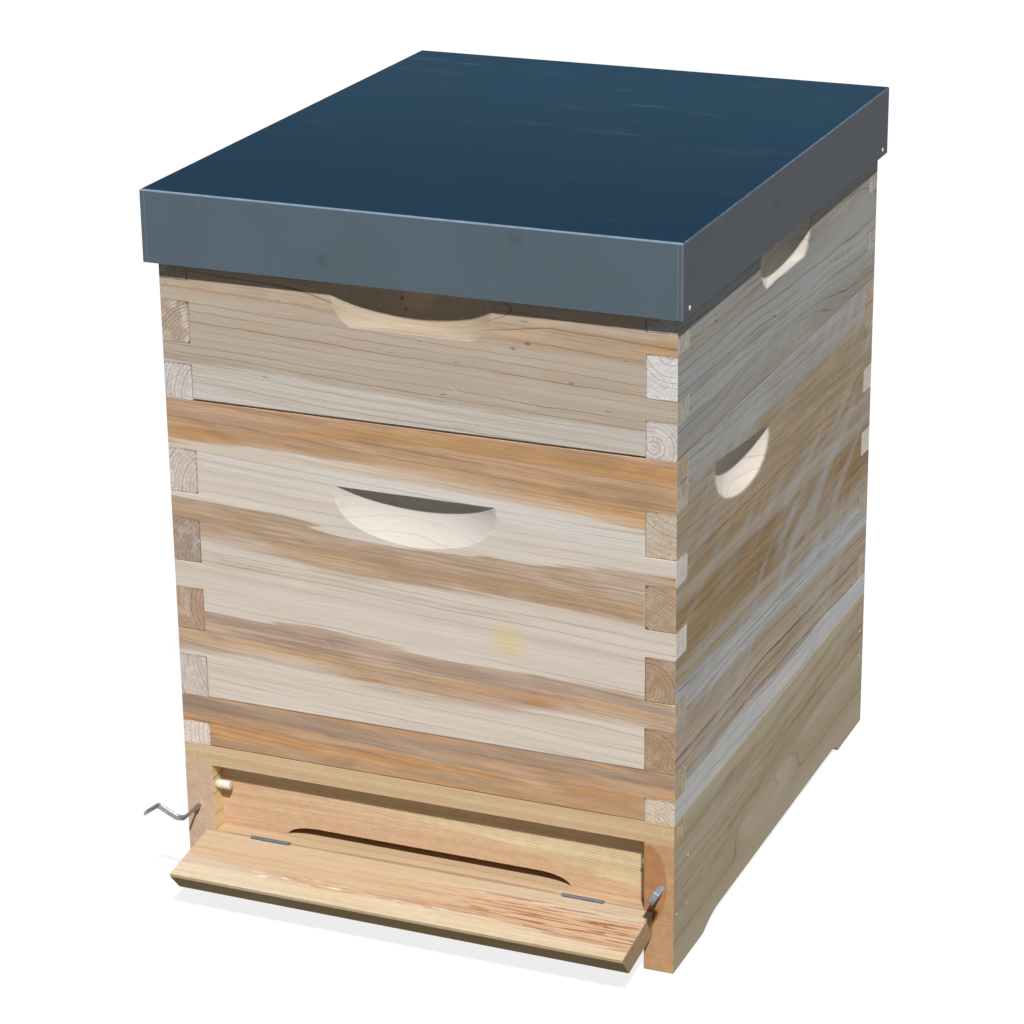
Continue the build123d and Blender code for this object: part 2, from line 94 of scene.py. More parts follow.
class Graph:
    """Adds nodes to one tree. Inputs may be numbers, colours or the sockets of earlier nodes."""

    def __init__(self, tree):
        self.tree = tree

    def feed(self, socket, value):
        if isinstance(value, bpy.types.NodeSocket):
            self.tree.links.new(value, socket)
        else:
            socket.default_value = value

    def node(self, kind, inputs=None, **settings):
        node = self.tree.nodes.new(kind)
        for name, value in settings.items():
            setattr(node, name, value)
        for key, value in (inputs or {}).items():
            self.feed(node.inputs[key], value)
        return node

    def math(self, operation, *values):
        return self.node("ShaderNodeMath", dict(enumerate(values)), operation=operation).outputs[0]

    def times(self, product, *factors):
        for factor in factors:
            product = self.math("MULTIPLY", product, factor)
        return product

    def plus(self, first, second):
        return self.math("ADD", first, second)

    def minus(self, first, second):
        return self.math("SUBTRACT", first, second)

    def over(self, first, second):
        return self.math("DIVIDE", first, second)

    def larger(self, first, second):
        return self.math("MAXIMUM", first, second)

    def smaller(self, first, second):
        return self.math("MINIMUM", first, second)

    def size(self, value):
        return self.math("ABSOLUTE", value)

    def add_share(self, rest, value, share):
        """The rest, plus a share of the value."""
        return self.math("MULTIPLY_ADD", value, share, rest)

    def length(self, first, second):
        """How far off a point is that lies so far one way and so far the other."""
        return self.math("SQRT", self.add_share(self.times(second, second), first, first))

    def off_oval(self, first, second, oval):
        """How far off an oval's middle a point is, in half widths. The oval's sizes are in millimetres."""
        first_middle, second_middle, first_half, second_half = [size * MM for size in oval]
        first_off = self.over(self.minus(first, first_middle), first_half)
        return self.length(first_off, self.over(self.minus(second, second_middle), second_half))

    def smooth(self, value, low, high):
        """0 below low, 1 above high, and a soft step between."""
        inputs = {"Value": value, "From Min": low, "From Max": high}
        return self.node("ShaderNodeMapRange", inputs, interpolation_type="SMOOTHSTEP").outputs[0]

    def between(self, value, rise, fall):
        """1 inside a range and 0 outside it, with a soft rise and a soft fall."""
        return self.times(self.smooth(value, *rise), self.smooth(value, fall[1], fall[0]))

    def spread(self, value, low, high):
        """A value between 0 and 1 spread between two others."""
        return self.node("ShaderNodeMapRange", {"Value": value, "To Min": low, "To Max": high}).outputs[0]

    def join(self, x, y, z):
        return self.node("ShaderNodeCombineXYZ", {0: x, 1: y, 2: z}).outputs[0]

    def split(self, vector):
        return self.node("ShaderNodeSeparateXYZ", {0: vector}).outputs

    def noise(self, vector, scale, detail=2.0, distortion=0.0):
        inputs = {"Vector": vector, "Scale": scale, "Detail": detail, "Distortion": distortion}
        return self.node("ShaderNodeTexNoise", inputs).outputs[0]

    def streaks(self, along, along_scale, across, across_scale, depth, detail=2.0, distortion=0.0):
        """Noise with its own scale along and across, in cells per metre."""
        place = self.join(self.times(along, along_scale), self.times(across, across_scale), depth)
        return self.noise(place, 1.0, detail, distortion)

    def noise_line(self, value, scale):
        """Noise along one number."""
        inputs = {"W": value, "Scale": scale, "Detail": 1.0}
        return self.node("ShaderNodeTexNoise", inputs, noise_dimensions="1D").outputs[0]

    def chance(self, value):
        """A random number from 0 to 1 for each value."""
        return self.node("ShaderNodeTexWhiteNoise", {"W": value}, noise_dimensions="1D").outputs[0]

    def mix(self, share, first, second, blend="MIX"):
        """Two colours mixed; a colour may be given as hex digits."""
        first, second = [tone(colour) if isinstance(colour, str) else colour for colour in (first, second)]
        node = self.node("ShaderNodeMix", {0: share, 6: first, 7: second}, data_type="RGBA", blend_type=blend)
        return node.outputs[2]

    def shaded(self, colour, shade):
        """A colour darkened or lightened by a number."""
        return self.mix(1.0, colour, self.join(shade, shade, shade), "MULTIPLY")

    def group(self, name, **inputs):
        node = self.node("ShaderNodeGroup", node_tree=bpy.data.node_groups[name])
        for key, value in inputs.items():
            self.feed(node.inputs[key.replace("_", " ")], value)
        return node.outputs

    def place(self):
        """Where a point of the piece is, in metres."""
        return self.node("ShaderNodeTexCoord").outputs["Object"]

    def facing(self):
        """Which way the surface faces, in the piece's own axes."""
        return self.split(self.node("ShaderNodeTexCoord").outputs["Normal"])

    def spot(self, vector, centre, radius):
        """1 at a place and 0 at that distance from it."""
        apart = self.node("ShaderNodeVectorMath", {0: vector, 1: centre}, operation="DISTANCE")
        return self.minus(1.0, self.smooth(apart.outputs["Value"], 0.0, radius))

    def course(self, share, heights):
        """A height in metres that follows heights in millimetres, evenly spaced along a board."""
        low, high = min(heights), max(heights)
        if low == high:
            return low * MM
        node = self.node("ShaderNodeFloatCurve", {"Value": share})
        points = node.mapping.curves[0].points
        last = len(heights) - 1
        places = [(step / last, (height - low) / (high - low)) for step, height in enumerate(heights)]
        points[0].location = places[0]
        points[1].location = places[-1]
        for place in places[1:-1]:
            points.new(*place)
        node.mapping.update()
        return self.spread(node.outputs[0], low * MM, high * MM)

    def finish(self, shader, colour, roughness, height, strength, distance=0.0005):
        """Feeds a shader's colour, roughness and bump."""
        self.feed(shader.inputs["Base Color"], colour)
        self.feed(shader.inputs["Roughness"], roughness)
        bump = self.node("ShaderNodeBump", {"Height": height, "Strength": strength, "Distance": distance})
        self.feed(shader.inputs["Normal"], bump.outputs[0])


def new_material(name):
    material = bpy.data.materials.new(name)
    material.use_nodes = True
    shader = material.node_tree.nodes["Principled BSDF"]
    return material, Graph(material.node_tree), shader


def new_group(name, inputs, outputs):
    """A shader node group of number sockets; returns its graph, input sockets and output sockets."""
    tree = bpy.data.node_groups.new(name, "ShaderNodeTree")
    for label, default in inputs.items():
        socket = tree.interface.new_socket(label, in_out="INPUT", socket_type="NodeSocketFloat")
        socket.default_value = default
    for label in outputs:
        tree.interface.new_socket(label, in_out="OUTPUT", socket_type="NodeSocketFloat")
    graph = Graph(tree)
    return graph, graph.node("NodeGroupInput").outputs, graph.node("NodeGroupOutput").inputs


# Shared effects


def make_growth_rings():
    """Year rings round a pith that runs along the board, cut by whatever surface is looked at."""
    inputs = {"Along": 0, "Across": 0, "Depth": 0, "Spacing": 0.008, "Pith Across": 0, "Pith Depth": 0,
              "Tilt": 0, "Wander": 0.02, "Knot": 0, "Line": 0.001, "Seed": 0}
    g, given, out = new_group("Growth rings", inputs, ("Lines", "Late", "Tone", "Flow"))
    along, across, seed = given["Along"], given["Across"], given["Seed"]
    # The rings drift slowly along the board, and waver a little on top of that
    deep = g.add_share(seed, given["Depth"], 7.0)
    drift = g.minus(g.streaks(along, 3.2, across, 8.0, deep, 2.5), 0.5)
    waver = g.minus(g.streaks(along, 24.0, across, 70.0, deep), 0.5)
    level = g.add_share(g.add_share(across, along, given["Tilt"]), waver, 0.003)
    flow = g.add_share(level, drift, given["Wander"])
    # The distance from the pith, counted in years of uneven width
    off_pith = g.length(g.minus(flow, given["Pith Across"]), g.minus(given["Depth"], given["Pith Depth"]))
    radius = g.plus(off_pith, given["Knot"])
    uneven = g.noise_line(g.plus(radius, seed), 90.0)
    years = g.add_share(g.over(radius, given["Spacing"]), uneven, 0.8)
    share = g.math("FRACT", years)
    year = g.plus(g.math("FLOOR", years), seed)
    # A year ends in a dark line, stronger in some years than in others and broken along the grain
    chance = g.chance(year)
    left = g.times(g.minus(1.0, share), given["Spacing"])
    line = g.smooth(left, given["Line"], g.times(given["Line"], 0.3))
    broken = g.smooth(g.streaks(along, 9.0, year, 3.7, seed), 0.3, 0.62)
    g.feed(out["Lines"], g.times(line, g.spread(chance, 0.4, 1.0), g.spread(broken, 0.35, 1.0)))
    g.feed(out["Late"], g.times(g.math("POWER", share, 6.0), g.spread(chance, 0.2, 1.0)))
    g.feed(out["Tone"], g.noise_line(g.plus(years, seed), 0.45))
    g.feed(out["Flow"], flow)


def make_wood_fibre():
    """Fine fibres, long soft streaks, crisper grain, thin veins and short flecks that follow the grain."""
    inputs = {"Along": 0, "Flow": 0, "Depth": 0, "Seed": 0}
    g, given, out = new_group("Wood fibre", inputs, ("Fibre", "Streak", "Grain", "Vein", "Fleck"))

    def stretched(long_way, short_way, detail, distortion=0.0):
        deep = g.add_share(given["Seed"], given["Depth"], short_way)
        return g.streaks(given["Along"], long_way, given["Flow"], short_way, deep, detail, distortion)

    g.feed(out["Fibre"], stretched(25.0, 1400.0, 3.0))
    g.feed(out["Streak"], stretched(4.0, 110.0, 3.0, 0.5))
    g.feed(out["Grain"], stretched(5.0, 240.0, 4.0, 0.8))
    g.feed(out["Vein"], g.smooth(stretched(7.0, 620.0, 2.0, 0.3), 0.57, 0.65))
    g.feed(out["Fleck"], g.smooth(stretched(60.0, 420.0, 2.0), 0.715, 0.76))


def make_colour_band():
    """A darker or paler band of a board, a streak of the wood or a line of painted shade or highlight,
    between two edges that may rise and fall along it.
    """
    inputs = {"Across": 0, "Top": 0, "Bottom": 0, "Soft Top": 0.002, "Soft Bottom": 0.004}
    g, given, out = new_group("Colour band", inputs, ("Mask",))
    edges = []
    for name, way in (("Bottom", 1.0), ("Top", -1.0)):
        soft = g.times(given["Soft " + name], way)
        edges.append(g.smooth(given["Across"], g.minus(given[name], soft), g.plus(given[name], soft)))
    g.feed(out["Mask"], g.times(*edges))


def make_pale_scuffs_and_sheen():
    """Marks of handling and rain, and painted highlight where raised fibres catch grazing light: soft pale
    strokes at a slant and thin pale scratches.
    """
    inputs = {"Along": 0, "Across": 0, "Depth": 0, "Slant": 0.5, "Seed": 0}
    g, given, out = new_group("Pale scuffs and sheen", inputs, ("Haze", "Scratch"))
    along, across = given["Along"], given["Across"]
    depth = g.plus(given["Depth"], given["Seed"])
    # Places across the strokes and along them, and a slow swirl that bends them
    slid = g.add_share(across, along, given["Slant"])
    stroke = g.minus(along, g.times(across, given["Slant"]))
    swirl = g.minus(g.streaks(along, 5.0, across, 9.0, depth, 1.0), 0.5)
    bent = g.add_share(slid, swirl, 0.10)
    # Strokes at a slant and along the board, brushed with finer ones, and all of them in patches
    patch = g.streaks(along, 5.0, across, 13.0, depth)
    wide = g.smooth(g.streaks(stroke, 6.0, bent, 40.0, depth, 2.5, 0.2), 0.40, 0.66)
    level = g.smooth(g.streaks(along, 5.0, across, 55.0, depth, 3.0, 0.4), 0.46, 0.70)
    brushed = g.smooth(g.streaks(stroke, 7.0, slid, 170.0, depth, 3.0), 0.34, 0.66)
    hair = g.smooth(g.streaks(stroke, 30.0, bent, 520.0, depth, 2.0, 0.3), 0.66, 0.74)
    haze = g.larger(wide, g.times(level, 0.4))
    g.feed(out["Haze"], g.times(haze, g.spread(brushed, 0.55, 1.0), g.smooth(patch, 0.30, 0.58)))
    g.feed(out["Scratch"], g.times(hair, g.smooth(patch, 0.5, 0.62)))


def make_speckle():
    """Even fine grain for paint, cast or drawn metal and wax."""
    g, given, out = new_group("Surface speckle", {"X": 0, "Y": 0, "Z": 0}, ("Fine", "Cloud"))
    place = g.join(given["X"], given["Y"], given["Z"])
    g.feed(out["Fine"], g.noise(place, 1800.0))
    g.feed(out["Cloud"], g.noise(place, 14.0, 4.0, 0.5))


# Looks of the boards

# Lengths are in millimetres and colours in hex digits. A look holds
# axes: the piece's axes along the grain, across it and through the thickness
# reach: half the board's length; face: how far its outer face is from the hive's middle
# sap and deep: colours of the wood; fresh: of the hand scoops; inner: of the rims and the inside;
# under: painted shade on the faces that look down
# rims: heights of the board's lower and upper rim; glue: height of a glue line
# rings: spacing of the year rings, place of the pith across and through the board, and how far they wander
# tilt: fall of the rings along the board; line, line_strength and line_width: their dark lines
# knots: ovals that the rings bulge round, as middle, half widths and bulge
# fingers: top of the first end finger, pitch and height of one; ends: a lower limit and the colour above it
# heart: oval of another colour on the end; chalk: how chalky the ends are
# bands: heights of the top and bottom edge at even steps from the left or front end, softness of each edge,
# colour, colour of its streaks, and strength at each end
# stains: place, radius, stretch along the grain, colour and strength
# haze, scratch, slant and haze_colour: pale scuffs; flecks, flames and ripple: how strong those marks are

# Thickness of a box's boards, and the depth up to which a cut in one counts as a hand scoop
BOARD = 25
SCOOP_LIMIT = 14
# Bands thinner than the first, or with a top edge sharper than the second, keep straight edges
THIN_BAND = 2
SHARP_EDGE = 0.5
# Half the width of an edge of softness 1, in metres, and the linear red below which a band counts as dark
BAND_EDGE = 0.4 * MM
DARK_BAND = 0.55
# Stains with a radius between these break up along the grain
BROKEN_STAIN = (4, 10)
# Below a glue line lies another piece of wood: how far its seed and its pith are off, the pith in metres
GLUED_SEED = 5.7
GLUED_PITH = -0.13

PLAIN_BOARD = {
    "tilt": 0.0, "line_width": 0.9, "glue": (), "rims": (0, 1000), "knots": (), "stains": (),
    "chalk": 0.4, "haze": 0.0, "scratch": 0.1, "slant": 0.3, "flecks": 0.0, "flames": 0.0, "ripple": 0.0,
    "bands": (),
}

END_BOARD = {"axes": "XZY", "reach": 215, "face": 257.5}
SIDE_BOARD = {"axes": "YZX", "reach": 257.5, "face": 215}
BODY_BOX = {"rims": (130, 430), "inner": "CDB898"}
SUPER_BOX = {"rims": (430, 575), "inner": "CDB898"}

BODY_FRONT = {
    **END_BOARD, **BODY_BOX, "seed": 3.0, "sap": "D7CDC1", "deep": "CFC2B4", "fresh": "CDC5BE",
    "rings": (7.6, 20, -100, 11), "tilt": 0.05, "line": "745B42", "line_strength": 0.75, "line_width": 0.55,
    "glue": (174,), "haze": 0.14, "scratch": 0.2, "slant": 0.25, "fingers": (429.1, 59.4, 22.8),
    "ends": (
        (369.7, "B6A48C"), (310.3, "E2DBD1"), (250.9, "E4DCD2"), (191.5, "B7AA97"), (0, "B9A88F"),
    ),
    "bands": (
        ((388, 386, 384, 380, 372, 366), (372, 370, 366, 362, 356, 350), 6, 7, "D9D3CC", "D0C7BF", 0.7, 0.8),
        ((440,), (394, 399, 400, 398, 387, 377), 1, 12, "BE9876", "AE8967", 0.92, 0.95),
        ((405, 404, 403, 400, 393, 386), (397, 396, 396, 392, 384, 376), 3, 4, "B88E5E", "C39E7D", 0.85, 0.5),
        ((404, 412, 423, 428, 426, 425), (396, 404, 413, 416, 411, 412), 4, 4, "B98C57", "C69B6D", 0.5, 0.75),
        ((394, 394, 394, 394, 392, 386), (386, 386, 386, 384, 378, 368), 3, 4, "C19466", "D0A87F", 0.0, 0.8),
        ((347, 345, 332, 331, 336, 338), (318, 309, 300, 301, 297, 294),
         3, 10, "B79D87", "AE906F", 0.95, 0.9),
        ((340, 330, 318, 316, 312, 310), (330, 318, 306, 304, 300, 297), 5, 6, "A88663", "BFA587", 0.75, 0.8),
        ((300, 297, 295, 292, 290, 286), (292, 289, 288, 285, 284, 281), 4, 4, "C2B29E", "CCBFAD", 0.7, 0.3),
        ((214, 218, 210, 207, 213, 208), (174.5,), 5, 0.4, "D9CDC1", "D1C4B4", 0.85, 0.9),
        ((251, 248, 246, 241, 240, 230), (211, 217, 208, 205, 212, 206),
         3, 18, "BFA283", "B49A87", 0.95, 0.95),
        ((250, 248, 245, 240, 238, 228), (240, 239, 234, 230, 229, 221), 2, 5, "AE9A8B", "A38D7E", 0.75, 0.5),
        ((232, 231, 226, 222, 225, 217), (225, 225, 218, 213, 217, 212), 4, 5, "BB8C5E", "C39F7A", 0.55, 0.4),
        ((174,), (120,), 0.3, 1, "BB926C", "AD8D6E", 0.97, 0.97),
        ((172, 171, 169, 168, 169, 170), (158, 157, 156, 158, 160, 161),
         2, 5, "9E8774", "8F7967", 0.85, 0.55),
        ((152, 150, 149, 151, 152, 154), (138, 140, 141, 142, 144, 146), 5, 5, "C08B56", "CA9D6E", 0.85, 0.7),
        ((174.7,), (173.6,), 0.2, 0.2, "5F4837", "6C5542", 0.8, 0.8),
        # A dark line along the bottom edge is painted shade in the seam with the floor.
        ((130.9,), (120,), 0.2, 0.2, "4A3524", "553D29", 0.75, 0.75),
    ),
    "stains": (
        (76, 264, 22, 1.0, "DCC277", 0.55), (-175, 221, 9, 4.0, "BC8A58", 0.7),
        (-46, 212, 8, 4.0, "C08E5C", 0.7), (102, 218, 9.5, 2.5, "BC8650", 0.8),
        (-150, 316, 9, 4.0, "DCD4CB", 0.65), (-120, 330, 7, 5.0, "D3C8BC", 0.35),
        (177, 320, 9, 4.0, "D6CCC1", 0.7), (150, 332, 7, 5.0, "D3C8BC", 0.5),
    ),
}

BODY_BACK = {
    **BODY_FRONT, "seed": 11.0, "rings": (8.5, 50, 110, 24), "tilt": -0.04, "glue": (262,), "stains": (),
    "bands": (
        ((412, 405, 410, 418, 424, 430), (386, 384, 392, 398, 404, 402), 4, 6, "AE8C69", "B99A7A", 0.9, 0.7),
        ((352, 355, 352, 358, 360, 362), (340, 338, 340, 344, 346, 344), 3, 6, "B98F65", "C2A17E", 0.5, 0.9),
        ((250, 248, 240, 238, 236, 240), (216, 214, 206, 204, 208, 206), 3, 7, "B48E6A", "A98C78", 0.85, 0.9),
        ((180, 176, 178, 182, 184, 182), (162, 160, 162, 166, 164, 160), 4, 6, "A38B78", "B39A80", 0.8, 0.6),
        ((262.7,), (261.6,), 0.2, 0.2, "5E4735", "6B5340", 0.8, 0.8),
    ),
}

# The right-hand body board is darker, greyer and bluer than the others: partly weathering and partly painted
# shade of a side that the key light only grazes. Its pale fresh colour is partly painted light in the shaded
# hand scoops.
BODY_RIGHT = {
    **SIDE_BOARD, **BODY_BOX, "seed": 19.0, "sap": "B0A18E", "deep": "A19079", "fresh": "EEE5DA",
    "rings": (8.0, 50, 80, 24), "tilt": 0.03, "line": "43352A", "line_strength": 0.95, "glue": (236,),
    # The strong pale haze here is partly weathering and partly painted highlight of raised fibres in grazing
    # light.
    "haze": 0.62, "scratch": 0.3, "slant": -0.6, "haze_colour": "BABCBD", "flecks": 0.8,
    "fingers": (399.4, 59.4, 36.6), "chalk": 0.12,
    "ends": (
        (340, "C1B09B"), (280.5, "B19980"), (221.2, "A88D72"), (161.8, "AA8D70"), (0, "D1C1AD"),
    ),
    "bands": (
        ((440,), (392, 394, 397, 400, 404, 406), 1, 44, "A8ABAC", "AEB0B0", 0.8, 0.55),
        ((404, 402, 398, 396, 398, 400), (340, 330, 318, 322, 330, 336),
         10, 16, "A28D70", "AF997C", 0.6, 0.9),
        ((342, 342, 340, 340, 342, 344), (326, 324, 322, 322, 324, 326), 5, 8, "957952", "A8895F", 0.6, 0.8),
        ((310, 312, 306, 300, 296, 300), (262, 264, 260, 252, 246, 246), 9, 10, "9E8056", "8E7042", 0.7, 0.9),
        ((244, 240, 236, 232, 228, 224), (218, 214, 210, 206, 202, 196),
         9, 12, "B8BABC", "C5C3BD", 0.85, 0.9),
        ((206, 204, 200, 196, 190, 186), (166, 164, 162, 160, 158, 156), 6, 8, "B9A590", "AA967F", 0.8, 0.8),
        ((158, 157, 156, 155, 154, 153), (120,), 3, 1, "C7C9CD", "D6D4CF", 0.9, 0.9),
    ),
    "stains": (
        (-2, 275, 26, 1.0, "C0C1C0", 0.3), (23, 302, 30, 1.0, "B9B9B7", 0.25),
    ),
}

BODY_LEFT = {
    **BODY_RIGHT, "seed": 27.0, "sap": "CBBEAF", "deep": "B8A894", "rings": (9, 480, -90, 28), "glue": (300,),
    "line": "8A7156", "haze": 0.25, "haze_colour": "DDD7CE", "stains": (), "chalk": 0.25,
    "ends": (
        (340, "CFBFB3"), (280.5, "A79383"), (221.2, "B1947E"), (161.8, "CBBBB1"), (0, "DCCCC0"),
    ),
    "bands": (
        ((416, 412, 408, 402, 400, 404), (388, 384, 376, 370, 366, 368), 4, 8, "B3906B", "BF9F7B", 0.6, 0.9),
        ((342, 346, 350, 356, 358, 356), (318, 322, 330, 334, 336, 334), 3, 7, "A98B6C", "B79B7D", 0.9, 0.7),
        ((262, 258, 250, 244, 240, 244), (222, 218, 208, 202, 200, 202), 4, 9, "B4926F", "A78C74", 0.8, 0.9),
        ((172, 172, 174, 178, 180, 178), (152, 152, 154, 158, 160, 158), 4, 6, "A08973", "B29A80", 0.7, 0.8),
        ((300.6,), (299.6,), 0.2, 0.2, "5E4735", "6B5340", 0.6, 0.6),
    ),
}

SUPER_FRONT = {
    **END_BOARD, **SUPER_BOX, "seed": 41.0, "sap": "BBAC9B", "deep": "B5A593", "fresh": "B5A48F",
    "rings": (5.4, 540, -207, 9), "tilt": 0.048, "line": "7A5730", "line_strength": 0.9, "line_width": 0.55,
    "haze": 0.1, "scratch": 0.25, "slant": 0.25, "flecks": 0.8, "fingers": (597.25, 51.5, 17),
    "ends": ((545.7, "B4AFA6"), (494.2, "BBB3A9"), (0, "B6AEA2")), "knots": ((12, 533, 70, 20, -14),),
    "bands": (
        ((540, 538, 536, 534, 532, 530), (520, 518, 517, 514, 512, 508), 6, 8, "BDA68D", "C0AC95", 0.6, 0.8),
        ((528, 526, 524, 522, 524, 526), (516, 514, 512, 508, 505, 500), 6, 8, "BB9E81", "AE8F70", 0.1, 0.6),
        ((463, 460, 457, 454, 452, 450), (420,), 3, 1, "C9C1B8", "C0B7AC", 0.95, 0.95),
        ((472, 470, 468, 465, 463, 461), (463, 460, 457, 454, 452, 450), 3, 3, "AC9F92", "B1A596", 0.4, 0.4),
        ((438, 437, 436, 436, 436, 436), (420,), 3, 1, "CFC8BF", "C8C0B6", 0.8, 0.8),
        # A dark line along the bottom edge is painted shadow in the gap between the super and the body.
        ((431.9,), (420,), 0.4, 0.4, "3B2B1E", "47341F", 0.92, 0.92),
    ),
    "stains": (
        (205, 512, 22, 1.0, "C4925E", 0.5), (-13, 529, 2.6, 1.0, "4A3523", 0.9),
        (-10, 521, 2.0, 1.0, "5A4129", 0.8), (96, 509, 2.2, 2.0, "5A4129", 0.8),
        (84, 504, 1.8, 2.0, "6B4F34", 0.8), (131, 482, 1.8, 2.0, "7A5D42", 0.7),
    ),
}

SUPER_BACK = {
    **SUPER_FRONT, "seed": 47.0, "rings": (6, 470, 200, 12), "tilt": -0.03, "knots": (), "stains": (),
    "bands": (
        ((532, 530, 526, 520, 518, 516), (508, 506, 504, 500, 498, 496), 4, 7, "B49773", "C0A98C", 0.8, 0.5),
        ((458, 460, 462, 464, 462, 460), (420,), 3, 1, "C9BEB1", "BFB3A4", 0.9, 0.9),
    ),
}

# The right-hand super board is greyer than the left: partly weathering and partly painted shade of a side
# that the key light only grazes. Its pale fresh colour is partly painted light in its shaded hand scoop.
SUPER_RIGHT = {
    **SIDE_BOARD, **SUPER_BOX, "seed": 53.0, "sap": "A7A7A4", "deep": "9C9994", "fresh": "DDD5C9",
    "rings": (6.6, 400, 150, 26), "tilt": 0.03, "line": "3C2F25", "line_strength": 1.0, "haze": 0.2,
    "scratch": 0.2, "slant": -0.5, "haze_colour": "BCC0C3", "flecks": 1.0, "fingers": (571.5, 51.5, 34.5),
    "ends": ((520, "B9B4AC"), (468.5, "D4D2CE"), (0, "CEC6C0")),
    "knots": ((160, 525, 190, 26, -22), (20, 452, 150, 14, -10)),
    "bands": (
        ((520, 522, 525, 528, 530, 532), (505, 506, 508, 510, 512, 514), 6, 8, "9B8F7E", "A79F91", 0.6, 0.6),
        ((474, 476, 478, 482, 486, 488), (452, 454, 458, 462, 466, 468), 5, 8, "B1AFAB", "A7A49E", 0.6, 0.7),
        ((446, 446, 447, 448, 450, 452), (420,), 4, 1, "A59C8D", "9B8D7A", 0.3, 0.7),
    ),
}

SUPER_LEFT = {
    **SUPER_RIGHT, "seed": 59.0, "sap": "BDAF9F", "deep": "AE9E8C", "rings": (7, 600, -140, 24),
    "line": "6B523A", "haze_colour": "DDD7CE", "ends": ((520, "AC9E90"), (468.5, "B2A08D"), (0, "CAC2BA")),
    "knots": ((-120, 470, 150, 22, -18),),
    "bands": (
        ((518, 514, 508, 504, 500, 498), (494, 490, 484, 480, 478, 476), 5, 8, "B1977A", "BDA78D", 0.7, 0.7),
        ((460, 462, 460, 458, 456, 456), (420,), 4, 1, "C8BDB0", "BEB1A2", 0.8, 0.8),
    ),
}

# The floor's right side is greyer than its left: partly painted shade of a side that the key light only
# grazes.
FLOOR_SIDE = {
    **SIDE_BOARD, "seed": 61.0, "sap": "B7AA92", "deep": "A8987C", "fresh": "C2AD8F",
    "rings": (10.5, 10, 150, 34), "tilt": -0.02, "line": "54412B", "line_strength": 0.85, "line_width": 0.8,
    "haze": 0.22, "scratch": 0.2, "slant": -0.6, "haze_colour": "B9B2A4", "ends": ((0, "BE956D"),),
    "heart": (194, 76, 15, 34, "AC7D56"), "knots": ((-30, 62, 90, 26, -26),),
    "bands": (
        ((78, 82, 88, 96, 104, 108), (46, 52, 58, 66, 76, 82), 8, 10, "9F8B6B", "AD9A7E", 0.6, 0.95),
        ((122, 118, 112, 100, 90, 84), (108, 104, 98, 86, 76, 70), 6, 8, "AB9B82", "9F8D6C", 0.6, 0.4),
        # A thin golden band along the top edge is a painted highlight where light catches that edge.
        ((130.5,), (129,), 0.3, 0.3, "D8A562", "C98F4C", 0.0, 0.9),
    ),
}

FLOOR_LEFT_SIDE = {
    **FLOOR_SIDE, "seed": 67.0, "sap": "CBAE88", "deep": "BB9B74", "fresh": "E6CD9F", "haze": 0.1,
    "rings": (11, 30, -130, 36), "ends": ((0, "C8AC93"),), "heart": (-240, 70, 15, 30, "C8AC93"), "knots": (),
}

FRONT_RAIL = {
    "axes": "XZY", "reach": 215, "seed": 71.0, "sap": "CFB794", "deep": "C5AA85", "rings": (3.6, 20, -280, 4),
    "tilt": 0.01, "line": "A0805A", "line_strength": 0.6, "line_width": 0.8, "ends": ((0, "B49A7B"),),
    "ripple": 0.5,
}

ENTRANCE_BLOCK = {
    "axes": "XZY", "reach": 190, "seed": 73.0, "sap": "D6C7A5", "deep": "CEB993",
    "rings": (5.2, -50, -200, 8), "line": "AC8762", "line_strength": 0.45, "ends": ((0, "C3AA8E"),),
    "ripple": 1.0,
    "bands": (
        ((96, 93, 88, 84, 74, 60), (40,), 4, 1, "D0B395", "C7A684", 0.95, 0.9),
        ((72, 72, 72, 70, 62, 56), (40,), 6, 1, "C4A082", "CDB093", 0.7, 0.5),
    ),
}

SILL = {
    "axes": "XYZ", "reach": 190, "seed": 79.0, "sap": "C7AF94", "deep": "C0A483", "rings": (6, -200, -100, 8),
    "line": "A28361", "line_strength": 0.4, "ends": ((0, "B39475"),),
    "bands": (
        ((-244, -243, -242, -240, -244, -250), (-252, -250, -248, -247, -252, -258),
         2, 2, "B89870", "C2A888", 0.0, 0.8),
        # A dark line along the front edge is painted shade in the seam with the landing board.
        ((-256.6,), (-262,), 0.5, 0.5, "6E5438", "7A5F42", 0.4, 0.4),
    ),
}

LANDING_BOARD = {
    "axes": "XYZ", "reach": 197.5, "seed": 83.0, "sap": "C6B69F", "deep": "C0A88B",
    "rings": (6.5, -220, 20, 14), "line": "9F7853", "line_strength": 0.45, "haze": 0.1, "scratch": 0.3,
    "slant": 0.25, "ends": ((0, "A78C6E"),), "flames": 0.9, "ripple": 0.6, "under": "A08557",
    "bands": (
        ((-262, -264, -268, -272, -276, -278), (-298, -298, -298, -300, -306, -310),
         5, 4, "CAAC8E", "C3A07E", 0.5, 0.8),
        ((-296, -296, -295, -297, -302, -308), (-304, -303, -302, -304, -309, -314),
         2, 3, "BD9677", "B58A69", 0.1, 0.85),
        # The pale strip along the front edge is a painted highlight, where the front edge catches the key
        # light.
        ((-307, -304, -302, -304, -309, -315), (-340,), 1.5, 1, "D2C4AA", "CEBC9C", 0.95, 0.85),
    ),
}

HIDDEN_BATTEN = {
    "axes": "YXZ", "reach": 230, "seed": 89.0, "sap": "D2B58E", "deep": "C4A47A", "rings": (5.5, 50, -90, 10),
    "line": "A27C54", "line_strength": 0.5, "ends": ((0, "C9AC85"),),
}

